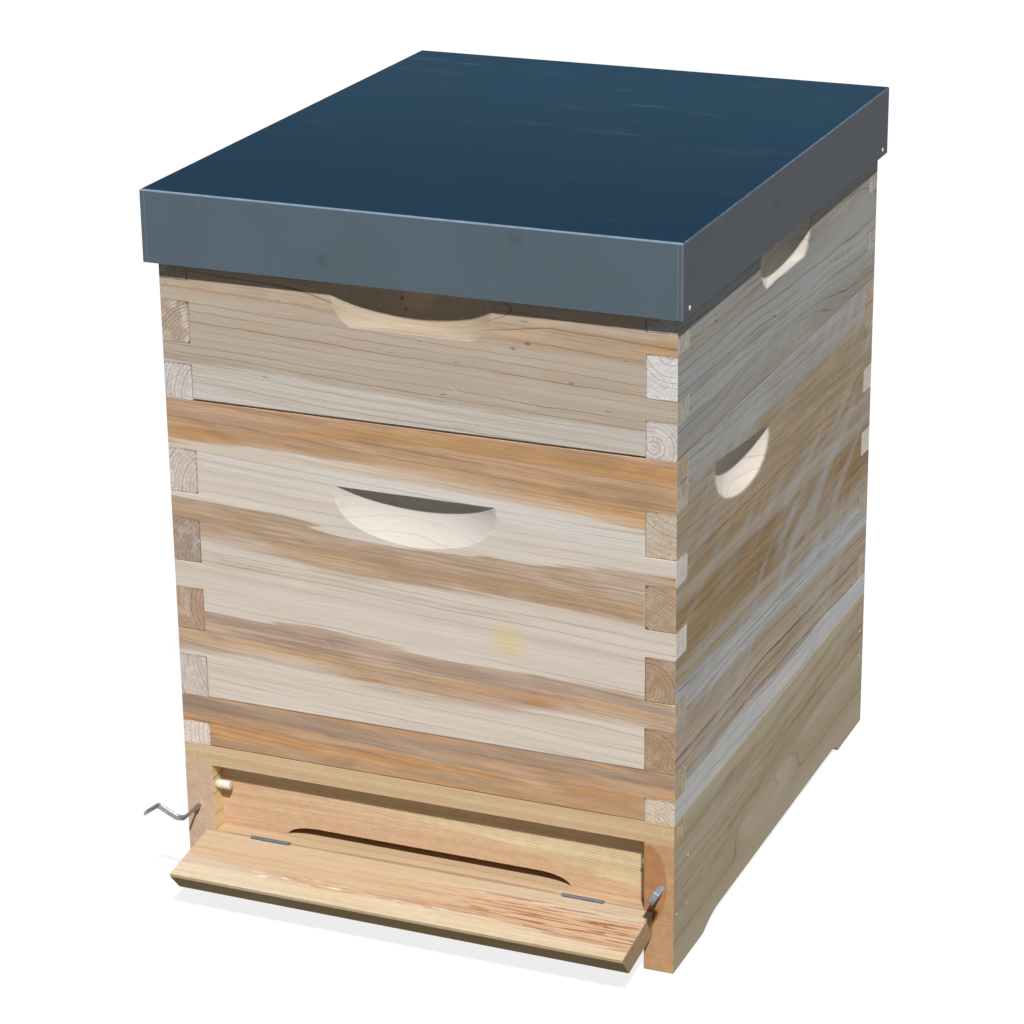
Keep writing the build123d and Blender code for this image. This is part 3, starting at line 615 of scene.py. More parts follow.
CROSS_BATTEN = {**HIDDEN_BATTEN, "axes": "XYZ", "seed": 93.0}
REAR_BOARD = {**FRONT_RAIL, "seed": 97.0, "rings": (8, 10, 340, 18), "haze": 0.15, "ripple": 0.0}
TOP_BAR = {**HIDDEN_BATTEN, "seed": 101.0, "sap": "DAC09A", "deep": "CFB085", "ends": ((0, "D8BE98"),)}
END_BAR = {**TOP_BAR, "axes": "ZXY", "reach": 500, "seed": 103.0}


def board_axes(g, letters):
    """Places along the grain, across it and through the thickness, and how far a face is end grain."""
    place = g.split(g.place())
    along, across, depth = ["XYZ".index(letter) for letter in letters]
    end = g.smooth(g.size(g.facing()[along]), 0.7, 0.85)
    return place[along], place[across], place[depth], end


def board_rings(g, look, along, across, depth):
    """The year rings of a board, which start anew below a glue line and bulge round a knot."""
    spacing, pith, pith_depth, wander = [size * MM for size in look["rings"]]
    seed = look["seed"]
    for height in look["glue"]:
        below = g.math("LESS_THAN", across, height * MM)
        seed = g.add_share(seed, below, GLUED_SEED)
        pith = g.add_share(pith, below, GLUED_PITH)
    knot = 0.0
    for *oval, lift in look["knots"]:
        near = g.minus(1.0, g.smooth(g.off_oval(along, across, oval), 0.0, 1.6))
        knot = g.add_share(knot, near, lift * MM)
    return g.group("Growth rings", Along=along, Across=across, Depth=depth, Spacing=spacing, Pith_Across=pith,
                   Pith_Depth=pith_depth, Tilt=look["tilt"], Wander=wander, Knot=knot,
                   Line=look["line_width"] * MM, Seed=seed)


def banded(g, look, colour, along, across, flow, grain):
    """Lays a board's bands over its colour, with streaky edges; tells how far a point is in a dark one."""
    share = g.add_share(0.5, along, 0.5 / (look["reach"] * MM))
    ragged = g.minus(g.streaks(along, 6.0, flow, 80.0, look["seed"], 3.0, 0.5), 0.5)
    streaky = g.add_share(g.add_share(across, ragged, 0.012), g.minus(grain, 0.5), 0.014)
    veined = g.smooth(grain, 0.44, 0.57)
    marble = g.smooth(g.streaks(along, 13.0, flow, 60.0, look["seed"], 4.0, 1.4), 0.34, 0.66)
    marble = g.spread(marble, 0.90, 1.10)
    in_dark = 0.0
    for top, bottom, soft_top, soft_bottom, code, streak_code, first, last in look["bands"]:
        straight = top[0] - bottom[0] < THIN_BAND or soft_top < SHARP_EDGE
        mask = g.group("Colour band", Across=across if straight else streaky, Top=g.course(share, top),
                       Bottom=g.course(share, bottom), Soft_Top=soft_top * BAND_EDGE,
                       Soft_Bottom=soft_bottom * BAND_EDGE)["Mask"]
        shown = g.times(mask, first if first == last else g.spread(share, first, last))
        tint = g.mix(veined, code, streak_code)
        if tone(code)[0] < DARK_BAND:
            tint = g.shaded(tint, marble)
            in_dark = g.larger(in_dark, shown)
        colour = g.mix(shown, colour, tint)
    return colour, in_dark


def fresh_wood(g, look, colour, across, depth):
    """Pale wood in the hand scoops, on the rims and inside a box; tells where it is and where a scoop is."""
    off = g.size(depth)
    inside = g.smooth(off, (look["face"] - 0.4) * MM, (look["face"] - 1.4) * MM)
    bottom, top = [height * MM for height in look["rims"]]
    rim = g.smaller(g.minus(across, bottom), g.minus(top, across))
    shallow = g.smooth(off, (look["face"] - SCOOP_LIMIT - 1) * MM, (look["face"] - SCOOP_LIMIT) * MM)
    scooped = g.times(shallow, g.smooth(rim, 0.001, 0.0016))
    bare = g.mix(scooped, look.get("inner", look["fresh"]), look["fresh"])
    return g.mix(g.times(inside, 0.8), colour, bare), inside, g.times(scooped, inside)


def stained(g, look, colour, along, across, grain):
    """Round or long stains; those of middling size break up along the grain."""
    for x, z, radius, stretch, code, strength in look["stains"]:
        level = g.add_share(across, g.minus(along, x * MM), look["tilt"])
        at = g.join(g.over(along, stretch), level, 0.0)
        spot = g.spot(at, (x / stretch * MM, z * MM, 0.0), radius * MM)
        if BROKEN_STAIN[0] < radius < BROKEN_STAIN[1]:
            spot = g.times(spot, g.smooth(grain, 0.42, 0.54))
        colour = g.mix(g.times(spot, strength), colour, code)
    return colour


def flamed(g, look, colour, along, across):
    """Short red-brown flames towards one end of the landing board, and a row of dabs towards the other."""

    def flecks(long_way, short_way, low, high, distortion):
        return g.smooth(g.streaks(along, long_way, across, short_way, 4.0, 3.0, distortion), low, high)

    # Where the flames and the dabs start and end, in metres across the board and along it
    zone = g.between(across, (-0.312, -0.303), (-0.275, -0.262))
    row = g.between(across, (-0.309, -0.305), (-0.300, -0.296))
    reach = g.times(g.smooth(along, -0.04, 0.14), look["flames"])
    flame = g.times(flecks(22.0, 460.0, 0.53, 0.575, 0.5), zone, reach)
    red_part = g.between(along, (-0.13, -0.10), (0.02, 0.06))
    reddish = g.times(flecks(36.0, 420.0, 0.48, 0.58, 0.9), row, red_part)
    pale_part = g.between(along, (-0.14, -0.13), (-0.05, -0.03))
    pale = g.times(flecks(60.0, 300.0, 0.50, 0.66, 0.2), row, pale_part)
    colour = g.mix(flame, colour, "8E552D")
    colour = g.mix(g.times(reddish, 0.6), colour, "B57C53")
    return g.mix(g.times(pale, 0.6), colour, "F4ECE0")


def planer_ripple(g, look, colour, along, across, depth):
    """Short cross ripples that a planer leaves in soft grain: the colour they darken and their height."""
    wave = g.math("SINE", g.times(g.add_share(across, along, 0.16), 2600.0))
    broken = g.smooth(g.streaks(along, 130.0, across, 160.0, depth), 0.36, 0.60)
    ripple = g.times(g.smooth(wave, -0.2, 1.0), broken)
    colour = g.mix(g.times(ripple, 0.42 * look["ripple"]), colour, "B58551")
    return colour, g.times(ripple, -0.5 * look["ripple"])


def end_grain(g, look, along, across, depth):
    """The sawn ends of a board, finger by finger: close rings, pores, chalky patches and dark joints."""
    fingered = "fingers" in look
    top, pitch, tall = [size * MM for size in look.get("fingers", (0, 1000, 1000))]
    down = g.over(g.minus(top, across), pitch)
    finger = g.math("FLOOR", down)
    # Each finger has its pith in another place
    chance = g.chance(g.plus(finger, look["seed"]))
    level = g.add_share(top - pitch / 2, finger, -pitch)
    pith = g.plus(level, g.spread(chance, -0.035, 0.045))
    pith_depth = g.add_share(math.copysign(0.18, look["rings"][2]), chance, 0.04)
    rings = g.group("Growth rings", Along=along, Across=across, Depth=depth,
                    Spacing=g.spread(chance, 0.0026, 0.0052), Pith_Across=pith, Pith_Depth=pith_depth,
                    Wander=0.012, Line=0.0009, Seed=look["seed"])
    colour = look["ends"][0][1]
    for (height, _), (_, code) in zip(look["ends"], look["ends"][1:]):
        colour = g.mix(g.math("LESS_THAN", across, height * MM), colour, code)
    if "heart" in look:
        *oval, code = look["heart"]
        colour = g.mix(g.smooth(g.off_oval(depth, across, oval), 1.05, 0.95), colour, code)
    place = g.join(along, across, depth)
    if fingered:
        chalk = g.times(g.smooth(g.noise(place, 70.0, 3.0, 0.6), 0.48, 0.66), look["chalk"])
        colour = g.mix(chalk, colour, "DFDBD5")
    colour = g.mix(g.times(rings["Lines"], 0.8 if fingered else 0.25), colour, "75593C")
    pores = g.noise(place, 900.0)
    rough = 0.17 if fingered else 0.06
    shade = g.spread(g.smooth(pores, 0.3, 0.7), 1.0 - rough, 1.0 + rough)
    colour = g.shaded(colour, g.times(shade, g.spread(g.noise(place, 150.0, 3.0), 0.78, 1.24)))
    if fingered:
        # Uneven dark lines along the joints, and dark spots in their corners
        off_middle = g.times(g.size(g.minus(g.math("FRACT", down), 0.5)), pitch)
        edge = g.size(g.minus(tall / 2, off_middle))
        inner = g.size(g.minus(g.size(depth), (look["face"] - BOARD) * MM))
        uneven = g.spread(g.noise(place, 160.0), 0.1, 1.5)
        joint = g.times(g.smooth(g.smaller(edge, inner), 0.0010, 0.0003), uneven)
        corner = g.times(g.plus(edge, inner), g.spread(chance, 0.7, 2.0))
        joint = g.larger(joint, g.smooth(corner, 0.0036, 0.0022))
        colour = g.mix(g.times(joint, 0.75), colour, "4A3828")
    return colour, pores


def board_material(name, look, wood):
    """Solid wood of one board: rings through its thickness, bands of heartwood and of painted shade and
    highlight, fibres, end grain and wear.
    """
    look = {**PLAIN_BOARD, **look}
    material, g, shader = new_material(name)
    along, across, depth, end = board_axes(g, look["axes"])
    # The wood's own colours
    rings = board_rings(g, look, along, across, depth)
    fibre = g.group("Wood fibre", Along=along, Flow=rings["Flow"], Depth=depth, Seed=look["seed"])
    colour = g.mix(g.smooth(rings["Tone"], 0.35, 0.7), look["sap"], look["deep"])
    colour, in_dark = banded(g, look, colour, along, across, rings["Flow"], fibre["Grain"])
    # Faces that look down turn towards the under colour: painted shade.
    if "under" in look:
        colour = g.mix(g.smooth(g.facing()[2], -0.05, -0.25), colour, look["under"])
    inside, scooped = 0.0, 0.0
    if "face" in look:
        colour, inside, scooped = fresh_wood(g, look, colour, across, depth)
    colour = stained(g, look, colour, along, across, fibre["Grain"])
    shade = g.times(g.spread(fibre["Streak"], 0.90, 1.10), g.spread(fibre["Fibre"], 0.88, 1.11))
    colour = g.shaded(colour, g.times(shade, g.spread(rings["Late"], 1.0, 0.93)))
    # Dark veins, year lines and small marks; those of the boxes are fainter in a fresh scoop
    veins = g.times(fibre["Vein"], g.add_share(0.08, in_dark, 0.26), g.spread(scooped, 1.0, 0.15))
    colour = g.mix(veins, colour, look["line"])
    line_strength = look["line_strength"] * wood.ring_strength
    lines = g.times(rings["Lines"], line_strength, g.spread(scooped, 1.0, 0.45))
    colour = g.mix(lines, colour, look["line"])
    if look["flames"]:
        colour = flamed(g, look, colour, along, across)
    if look["flecks"]:
        flecks = g.times(fibre["Fleck"], g.spread(scooped, look["flecks"], 0.0))
        colour = g.mix(flecks, colour, "5E4630")
    height = g.add_share(g.times(rings["Lines"], -0.4), fibre["Fibre"], 0.5)
    if look["ripple"]:
        colour, ripple = planer_ripple(g, look, colour, along, across, depth)
        height = g.plus(height, ripple)
    # Wear on the outside, with painted highlight of raised fibres in the strong haze of the right-hand body
    # board, and the sawn ends
    scuffs = g.group("Pale scuffs and sheen", Along=along, Across=across, Depth=depth, Slant=look["slant"],
                     Seed=look["seed"])
    worn = look.get("haze_colour", solid(wood.scuff_colour))
    for kind in ("haze", "scratch"):
        share = g.times(scuffs[kind.capitalize()], look[kind], g.minus(1.0, inside))
        colour = g.mix(share, colour, worn)
    cut, pores = end_grain(g, look, along, across, depth)
    colour = g.mix(end, colour, cut)
    height = g.add_share(height, g.times(pores, end), 1.2)
    g.finish(shader, colour, g.spread(fibre["Fibre"], 0.58, 0.80), height, strength=0.35)
    shader.inputs["Specular IOR Level"].default_value = 0.2
    return material


# Other finishes


def plywood_material(name, wood):
    """A pale veneer on its faces and thin crossed plies on its edges."""
    material, g, shader = new_material(name)
    along, across, depth, _ = board_axes(g, "XYZ")
    rings = g.group("Growth rings", Along=along, Across=across, Spacing=0.013, Pith_Across=-0.05,
                    Pith_Depth=0.07, Wander=0.09, Seed=111.0)
    fibre = g.group("Wood fibre", Along=along, Flow=rings["Flow"], Depth=depth)
    colour = g.mix(rings["Tone"], solid(wood.veneer), "C7A780")
    colour = g.mix(g.times(rings["Lines"], 0.5), colour, "A57F56")
    upright = g.smooth(g.size(g.facing()[2]), 0.5, 0.3)
    ply = g.math("PINGPONG", depth, 0.0014)
    edge = g.mix(g.smooth(ply, 0.0004, 0.0009), "B08D63", "7F6142")
    colour = g.shaded(g.mix(upright, colour, edge), g.spread(fibre["Streak"], 0.85, 1.12))
    g.finish(shader, colour, g.spread(fibre["Fibre"], 0.55, 0.75), fibre["Fibre"], strength=0.25)
    shader.inputs["Specular IOR Level"].default_value = 0.25
    return material


def metal_material(name, bright, dull, rough, metallic, brushed=0.0):
    """Metal with a mottled skin, duller in patches and lightly drawn along X where it was rolled."""
    material, g, shader = new_material(name)
    x, y, z = g.split(g.place())
    speckle = g.group("Surface speckle", X=x, Y=y, Z=z)
    spangle = g.node("ShaderNodeTexVoronoi", {"Vector": g.place(), "Scale": 420.0}).outputs["Color"]
    mottle = g.add_share(g.times(speckle["Cloud"], 0.6), g.split(spangle)[0], 0.4)
    drawn = g.minus(g.streaks(x, 40.0, y, 900.0, g.times(z, 900.0)), 0.5)
    mottle = g.add_share(mottle, drawn, brushed)
    colour = g.mix(mottle, solid(bright), solid(dull))
    g.finish(shader, colour, g.spread(mottle, rough - 0.1, rough + 0.15), speckle["Fine"], strength=0.12)
    shader.inputs["Metallic"].default_value = metallic
    return material


def wax_material(name, wax):
    """Pressed beeswax with rows of cell bases."""
    cell_wide, cell_high = 0.0054, 0.0047
    material, g, shader = new_material(name)
    _, y, z = g.split(g.place())
    row = g.over(z, cell_high)
    shift = g.times(g.math("PINGPONG", g.math("FLOOR", row), 1.0), 0.5)
    across = g.minus(g.math("FRACT", g.plus(g.over(y, cell_wide), shift)), 0.5)
    wall = g.smooth(g.length(across, g.minus(g.math("FRACT", row), 0.5)), 0.34, 0.5)
    cloud = g.noise(g.place(), 9.0, 3.0)
    colour = g.mix(cloud, solid(wax.sheet), solid(wax.old_sheet))
    colour = g.mix(g.times(wall, 0.35), colour, "EBCB79")
    g.finish(shader, colour, g.spread(cloud, 0.42, 0.6), wall, strength=0.6, distance=0.0008)
    shader.inputs["Subsurface Weight"].default_value = 0.1
    shader.inputs["Subsurface Radius"].default_value = (0.004, 0.002, 0.0008)
    return material


def peg_material(name, colour):
    """A white plastic rod, a little chalky, darker and browner in a ring where it enters the wood."""
    material, g, shader = new_material(name)
    x, y, z = g.split(g.place())
    speckle = g.group("Surface speckle", X=x, Y=y, Z=z)
    clean_to, wall = 0.186, 0.190
    near_wall = g.smooth(g.size(x), clean_to, wall)
    tint = g.mix(g.times(speckle["Cloud"], 0.5), solid(colour), "D6CCBB")
    tint = g.mix(g.times(near_wall, 0.6), tint, "B79B78")
    g.finish(shader, tint, g.spread(speckle["Fine"], 0.35, 0.55), speckle["Fine"], strength=0.1)
    return material


def roof_scuffs(g, place, x, y, z, top, high):
    """Pale smears and hairlines on the roof's top, mainly in three places."""
    everywhere, patch_radius = 0.12, 0.085
    smear = g.smooth(g.streaks(x, 9.0, y, 46.0, z, 4.0, 1.2), 0.55, 0.80)
    hair = g.smooth(g.streaks(x, 18.0, y, 340.0, z, 3.0, 0.4), 0.36, 0.66)
    patches = everywhere
    for spot in ((0.03, 0.12, high.z), (0.075, 0.075, high.z), (-0.17, 0.21, high.z)):
        patches = g.plus(patches, g.spot(place, spot, patch_radius))
    return g.times(smear, hair, patches, top)


def roof_bend_wear_and_highlight(g, place, x, y, z, low, high):
    """Pale lines along the front bend, and fainter ones along the right bend and the corner between them:
    partly paint rubbed off and partly painted highlight on the bends.
    """
    upper = g.smooth(z, high.z - 0.0019, high.z - 0.0007)
    front = g.times(g.smooth(y, low.y + 0.0016, low.y + 0.0005), upper)
    patchy = g.spread(g.smooth(g.noise(place, 300.0), 0.40, 0.62), 0.35, 0.6)
    right = g.times(g.smooth(x, high.x - 0.0011, high.x - 0.0004), upper, patchy)
    corner = g.times(g.smooth(x, high.x - 0.0012, high.x), g.smooth(y, low.y + 0.0012, low.y), 0.6)
    bends = g.larger(g.larger(front, right), corner)
    return g.times(bends, g.spread(g.noise(place, 120.0, 3.0), 0.3, 0.9))


def roof_material(name, roof):
    """Coil-coated sheet with painted sky reflection: bluer on top than on the skirts and a lighter grey on
    the side skirts; pale bends of rubbed paint and painted highlight, scuffs, and faint dents with painted
    shade.
    """
    material, g, shader = new_material(name)
    place = g.place()
    x, y, z = g.split(place)
    low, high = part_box("roof_sheet")
    face = g.facing()
    speckle = g.group("Surface speckle", X=x, Y=y, Z=z)
    # The paint is one colour: the top's blue and the side skirts' lighter grey are painted reflections of the
    # sky, set by which way a face faces.
    top = g.smooth(z, high.z - 0.0016, high.z - 0.0004)
    side = g.smooth(g.size(face[0]), 0.4, 0.7)
    skirt = g.mix(side, solid(roof.skirt_front), solid(roof.skirt_side_sky_sheen))
    colour = g.mix(top, skirt, g.mix(g.smooth(y, low.y, high.y), solid(roof.top), solid(roof.top_back)))
    colour = g.shaded(colour, g.spread(speckle["Cloud"], 0.92, 1.09))
    scuffs = g.times(roof_scuffs(g, place, x, y, z, top, high), roof.scuffs)
    colour = g.mix(scuffs, colour, "9FB0BC")
    dust = g.smooth(g.noise(place, 420.0, 1.0), 0.75, 0.79)
    colour = g.mix(g.times(dust, 0.10), colour, "A9B8C6")
    # Faint dents: each one dips the bump and is darkened with painted shade.
    dent_shade_and_dip, dent_radius = 0.0, 0.009
    spots = ((-0.068, low.y, 0.559), (0.091, low.y, 0.591), (high.x, -0.05, 0.575), (-0.12, high.y, 0.57))
    for spot in spots:
        dent_shade_and_dip = g.plus(dent_shade_and_dip, g.spot(place, spot, dent_radius))
    colour = g.mix(g.times(dent_shade_and_dip, 0.3), colour, "434C54")
    # Pale bends: paint rubbed off, and a painted highlight along the bends.
    colour = g.mix(roof_bend_wear_and_highlight(g, place, x, y, z, low, high), colour, solid(roof.bend_wear_and_highlight))
    lap_inset = 0.0038
    lap = g.size(g.minus(g.size(x), high.x - lap_inset))
    lap = g.times(g.smooth(lap, 0.0007, 0.0002), g.smooth(g.size(face[1]), 0.6, 0.8))
    colour = g.mix(g.times(lap, 0.25), colour, "8497A6")
    height = g.add_share(g.times(speckle["Fine"], 0.15), g.noise(place, 7.0, 1.0), 3.0)
    height = g.add_share(height, g.plus(dent_shade_and_dip, lap), -2.0)
    g.finish(shader, colour, g.spread(speckle["Cloud"], 0.48, 0.62), height, strength=0.2)
    shader.inputs["Specular IOR Level"].default_value = roof.gloss
    return material


# Shapes


def dress(node, material):
    """Gives a CAD node its finish."""
    mesh = NODES[node].data
    mesh.materials.clear()
    mesh.materials.append(material)


def ease_edges(node, width, segments=2, angle=20.0):
    """Rounds a CAD node's sharp edges a little, as sanding and handling do."""
    piece = NODES[node]
    weld = piece.modifiers.new("Join faces", "WELD")
    weld.merge_threshold = 0.00001
    flatten = piece.modifiers.new("Whole faces", "DECIMATE")
    flatten.decimate_type = "DISSOLVE"
    flatten.angle_limit = math.radians(0.5)
    bevel = piece.modifiers.new("Eased edges", "BEVEL")
    bevel.width = width
    bevel.segments = segments
    bevel.limit_method = "ANGLE"
    bevel.angle_limit = math.radians(angle)


def dress_boards(looks, wood):
    """Dresses board nodes from a table of node to look."""
    made = {}
    for node, (finish, look) in looks.items():
        if finish not in made:
            made[finish] = board_material(finish, look, wood)
        dress(node, made[finish])
        ease_edges(node, wood.edge_round)


def new_tree(name, inputs):
    """A geometry node tree with number inputs; returns its graph and its input and output sockets."""
    tree = bpy.data.node_groups.new(name, "GeometryNodeTree")
    tree.interface.new_socket("Geometry", in_out="INPUT", socket_type="NodeSocketGeometry")
    for label, default in inputs.items():
        kind = "NodeSocketInt" if isinstance(default, int) else "NodeSocketFloat"
        tree.interface.new_socket(label, in_out="INPUT", socket_type=kind).default_value = default
    tree.interface.new_socket("Geometry", in_out="OUTPUT", socket_type="NodeSocketGeometry")
    g = Graph(tree)
    return g, g.node("NodeGroupInput").outputs, g.node("NodeGroupOutput").inputs


def grow(name, tree, start, values, body):
    """Runs a geometry node tree on a mesh and keeps the result as one plain piece on a body."""
    maker = bpy.data.objects.new(name + "_maker", start)
    bpy.context.scene.collection.objects.link(maker)
    modifier = maker.modifiers.new("Grow", "NODES")
    modifier.node_group = tree
    sockets = {item.name: item.identifier for item in tree.interface.items_tree if item.in_out == "INPUT"}
    for label, value in values.items():
        modifier[sockets[label]] = value
    maker.update_tag()
    evaluated = maker.evaluated_get(bpy.context.evaluated_depsgraph_get())
    mesh = bpy.data.meshes.new_from_object(evaluated)
    bpy.data.objects.remove(maker)
    if not mesh.polygons:
        raise RuntimeError(f"{name} came out empty")
    piece = bpy.data.objects.new(name, mesh)
    bpy.context.scene.collection.objects.link(piece)
    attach(piece, body)
    return piece


def points_mesh(name, places):
    """Loose points, each with the way that what stands on it faces and the way its length runs."""
    mesh = bpy.data.meshes.new(name)
    mesh.from_pydata([place for place, facing, run in places], [], [])
    for label, column in (("facing", 1), ("run", 2)):
        layer = mesh.attributes.new(label, "FLOAT_VECTOR", "POINT")
        for index, row in enumerate(places):
            layer.data[index].vector = row[column]
    return mesh


def end_tree(g, out, instances, material):
    """Ends a tree with plain geometry in one finish."""
    plain = g.node("GeometryNodeRealizeInstances", {0: instances}).outputs[0]
    finished = g.node("GeometryNodeSetMaterial", {"Geometry": plain, "Material": material}).outputs[0]
    g.feed(out["Geometry"], finished)


def stand_on_points(g, given, out, shape, material):
    """Stands a shape on each point, turned by the point's facing and run, as one plain mesh."""
    ways = []
    for label in ("facing", "run"):
        stored = g.node("GeometryNodeInputNamedAttribute", {"Name": label}, data_type="FLOAT_VECTOR")
        ways.append(stored.outputs[0])
    turn = g.node("FunctionNodeAxesToRotation", dict(enumerate(ways)), primary_axis="Z", secondary_axis="X")
    inputs = {"Points": given["Geometry"], "Instance": shape, "Rotation": turn.outputs[0]}
    end_tree(g, out, g.node("GeometryNodeInstanceOnPoints", inputs).outputs[0], material)


def head_tree(name, material):
    """Round heads: flattened domes, half sunk."""
    g, given, out = new_tree(name, {"Radius": 0.0016, "Rise": 0.0004})
    ball = g.node("GeometryNodeMeshUVSphere", {"Segments": 20, "Rings": 10, "Radius": 1.0}).outputs[0]
    size = g.join(given["Radius"], given["Radius"], given["Rise"])
    dome = g.node("GeometryNodeTransform", {"Geometry": ball, "Scale": size}).outputs[0]
    smooth = g.node("GeometryNodeSetShadeSmooth", {"Geometry": dome}).outputs[0]
    stand_on_points(g, given, out, smooth, material)
    return g.tree


def staple_tree(name, material):
    """Staple crowns: short flat wires, half sunk."""
    g, given, out = new_tree(name, {"Length": 0.010, "Wire": 0.0012, "Rise": 0.0005})
    size = g.join(given["Length"], given["Wire"], given["Rise"])
    bar = g.node("GeometryNodeMeshCube", {"Size": size}).outputs[0]
    stand_on_points(g, given, out, bar, material)
    return g.tree


def woven_tree(name, material):
    """A woven wire sheet: wires one way over wires the other way."""
    inputs = {"Width": 0.379, "Depth": 0.45, "Across": 100, "Deep": 120, "Wire": 0.0006}
    g, given, out = new_tree(name, inputs)
    sheets = []
    ways = (("Depth", "Across", "Width", True), ("Width", "Deep", "Depth", False))
    for long_way, count, wide_way, x_way in ways:
        last = g.minus(given[wide_way], given["Wire"])
        gap = g.over(last, g.minus(given[count], 1.0))
        first = g.times(last, -0.5)
        lift = g.times(given["Wire"], 0.5 if x_way else -0.5)
        start = g.join(first, 0.0, lift) if x_way else g.join(0.0, first, lift)
        step = g.join(gap, 0.0, 0.0) if x_way else g.join(0.0, gap, 0.0)
        size = [given["Wire"], given[long_way]] if x_way else [given[long_way], given["Wire"]]
        inputs = {"Count": given[count], "Start Location": start, "Offset": step}
        line = g.node("GeometryNodeMeshLine", inputs).outputs[0]
        wire = g.node("GeometryNodeMeshCube", {"Size": g.join(*size, given["Wire"])}).outputs[0]
        sheets.append(g.node("GeometryNodeInstanceOnPoints", {"Points": line, "Instance": wire}).outputs[0])
    both = g.node("GeometryNodeJoinGeometry")
    for sheet in sheets:
        g.feed(both.inputs[0], sheet)
    end_tree(g, out, both.outputs[0], material)
    return g.tree


# Settings

COLOUR = {"size": 3, "min": 0.0, "max": 1.0, "subtype": "COLOR"}
LENGTH = {"unit": "LENGTH", "subtype": "DISTANCE"}


class HiveWood(bpy.types.PropertyGroup):
    """The wooden boxes, floor and frames."""

    edge_round: FloatProperty(name="Edge round", description="How far the boards' edges are eased",
                              default=0.0005, min=0.0, max=0.003, **LENGTH)
    ring_strength: FloatProperty(name="Growth lines", description="How strongly the year rings show",
                                 default=1.0, min=0.0, max=1.5, subtype="FACTOR")
    scuff_colour: FloatVectorProperty(name="Scuffs", description="Colour of dried and rubbed wood",
                                      default=tone("DDD5CA")[:3], **COLOUR)
    veneer: FloatVectorProperty(name="Veneer", description="Face of the plywood cover",
                                default=tone("D3B790")[:3], **COLOUR)


class HiveRoof(bpy.types.PropertyGroup):
    """The folded sheet roof and its rivets."""

    # The top's and the side skirts' colours hold a painted sky reflection.
    top: FloatVectorProperty(name="Top", description="Colour of the top",
                             default=tone("162F42")[:3], **COLOUR)
    top_back: FloatVectorProperty(name="Top, at the back", description="Colour of the top's far end",
                                  default=tone("1E394C")[:3], **COLOUR)
    skirt_front: FloatVectorProperty(name="Skirt, front and back",
                                     description="Colour of the front and back skirts",
                                     default=tone("5A6770")[:3], **COLOUR)
    skirt_side_sky_sheen: FloatVectorProperty(name="Skirt, sides", description="Colour of the side skirts",
                                    default=tone("666B70")[:3], **COLOUR)
    bend_wear_and_highlight: FloatVectorProperty(name="Worn bends", description="Colour of the rubbed bends",
                                   default=tone("9FB4C8")[:3], **COLOUR)
    scuffs: FloatProperty(name="Scuffs", description="How strongly the top is scuffed", default=0.35,
                          min=0.0, max=1.0, subtype="FACTOR")
    gloss: FloatProperty(name="Gloss", description="Specular level of the paint", default=0.005, min=0.0,
                         max=1.0, subtype="FACTOR")
    rivet_radius: FloatProperty(name="Rivet radius", description="Radius of a rivet head", default=0.0020,
                                min=0.001, max=0.006, **LENGTH)
    rivet_rise: FloatProperty(name="Rivet rise", description="How far a rivet head stands out",
                              default=0.0008, min=0.0002, max=0.003, **LENGTH)


class HiveMetal(bpy.types.PropertyGroup):
    """Hooks, hinges, runners, tray, mesh, nails, pegs and wax."""

    zinc: FloatVectorProperty(name="Zinc", description="Bright zinc", default=tone("B4B9BE")[:3], **COLOUR)
    dull_zinc: FloatVectorProperty(name="Dull zinc", description="Tarnished zinc",
                                   default=tone("7C848B")[:3], **COLOUR)
    nail_radius: FloatProperty(name="Nail head", description="Radius of a nail head", default=0.0014,
                               min=0.0005, max=0.004, **LENGTH)
    staple_length: FloatProperty(name="Staple crown", description="Length of a staple crown", default=0.009,
                                 min=0.004, max=0.02, **LENGTH)
    wire: FloatProperty(name="Mesh wire", description="Thickness of the floor mesh's wire", default=0.0006,
                        min=0.0003, max=0.0012, **LENGTH)
    wires_across: IntProperty(name="Wires across", description="Wires counted across the floor",
                              default=119, min=10, max=300)
    wires_deep: IntProperty(name="Wires deep", description="Wires counted from front to back",
                            default=142, min=10, max=300)
    peg: FloatVectorProperty(name="Peg", description="Colour of the entrance pegs",
                             default=tone("DBD4CC")[:3], **COLOUR)
    sheet: FloatVectorProperty(name="Wax", description="Fresh wax sheets",
                               default=tone("DDB158")[:3], **COLOUR)
    old_sheet: FloatVectorProperty(name="Darker wax", description="Wax in darker patches",
                                   default=tone("C08F3C")[:3], **COLOUR)


class HiveStage(bpy.types.PropertyGroup):
    """Floor, lights and camera."""

    key: FloatProperty(name="Key light", description="Strength of the sun-like key", default=4.4, min=0.0,
                       max=10.0)
    key_softness: FloatProperty(name="Key softness", description="Angle that the key light fills",
                                default=math.radians(2.5), min=0.0, max=1.5, subtype="ANGLE")
    fill: FloatProperty(name="Back fill", description="Strength of the soft light from behind", default=2.2,
                        min=0.0, max=10.0)
    fill_softness: FloatProperty(name="Fill softness", description="Angle that the back fill fills",
                                 default=math.radians(50.0), min=0.0, max=3.0, subtype="ANGLE")
    sky: FloatVectorProperty(name="Sky", description="Colour of the surrounding light",
                             default=(0.095, 0.103, 0.112), **COLOUR)
    floor: FloatVectorProperty(name="Floor", description="Colour of the floor", default=(0.15, 0.15, 0.15),
                               **COLOUR)
    floor_lift: FloatProperty(name="Floor lift",
                              description="Brightness added to the floor as the camera sees it",
                              default=0.84, min=0.0, max=1.0)
    lens: FloatProperty(name="Lens", description="Focal length of the camera in millimetres", default=107.56,
                        min=20.0, max=300.0)


# Operators


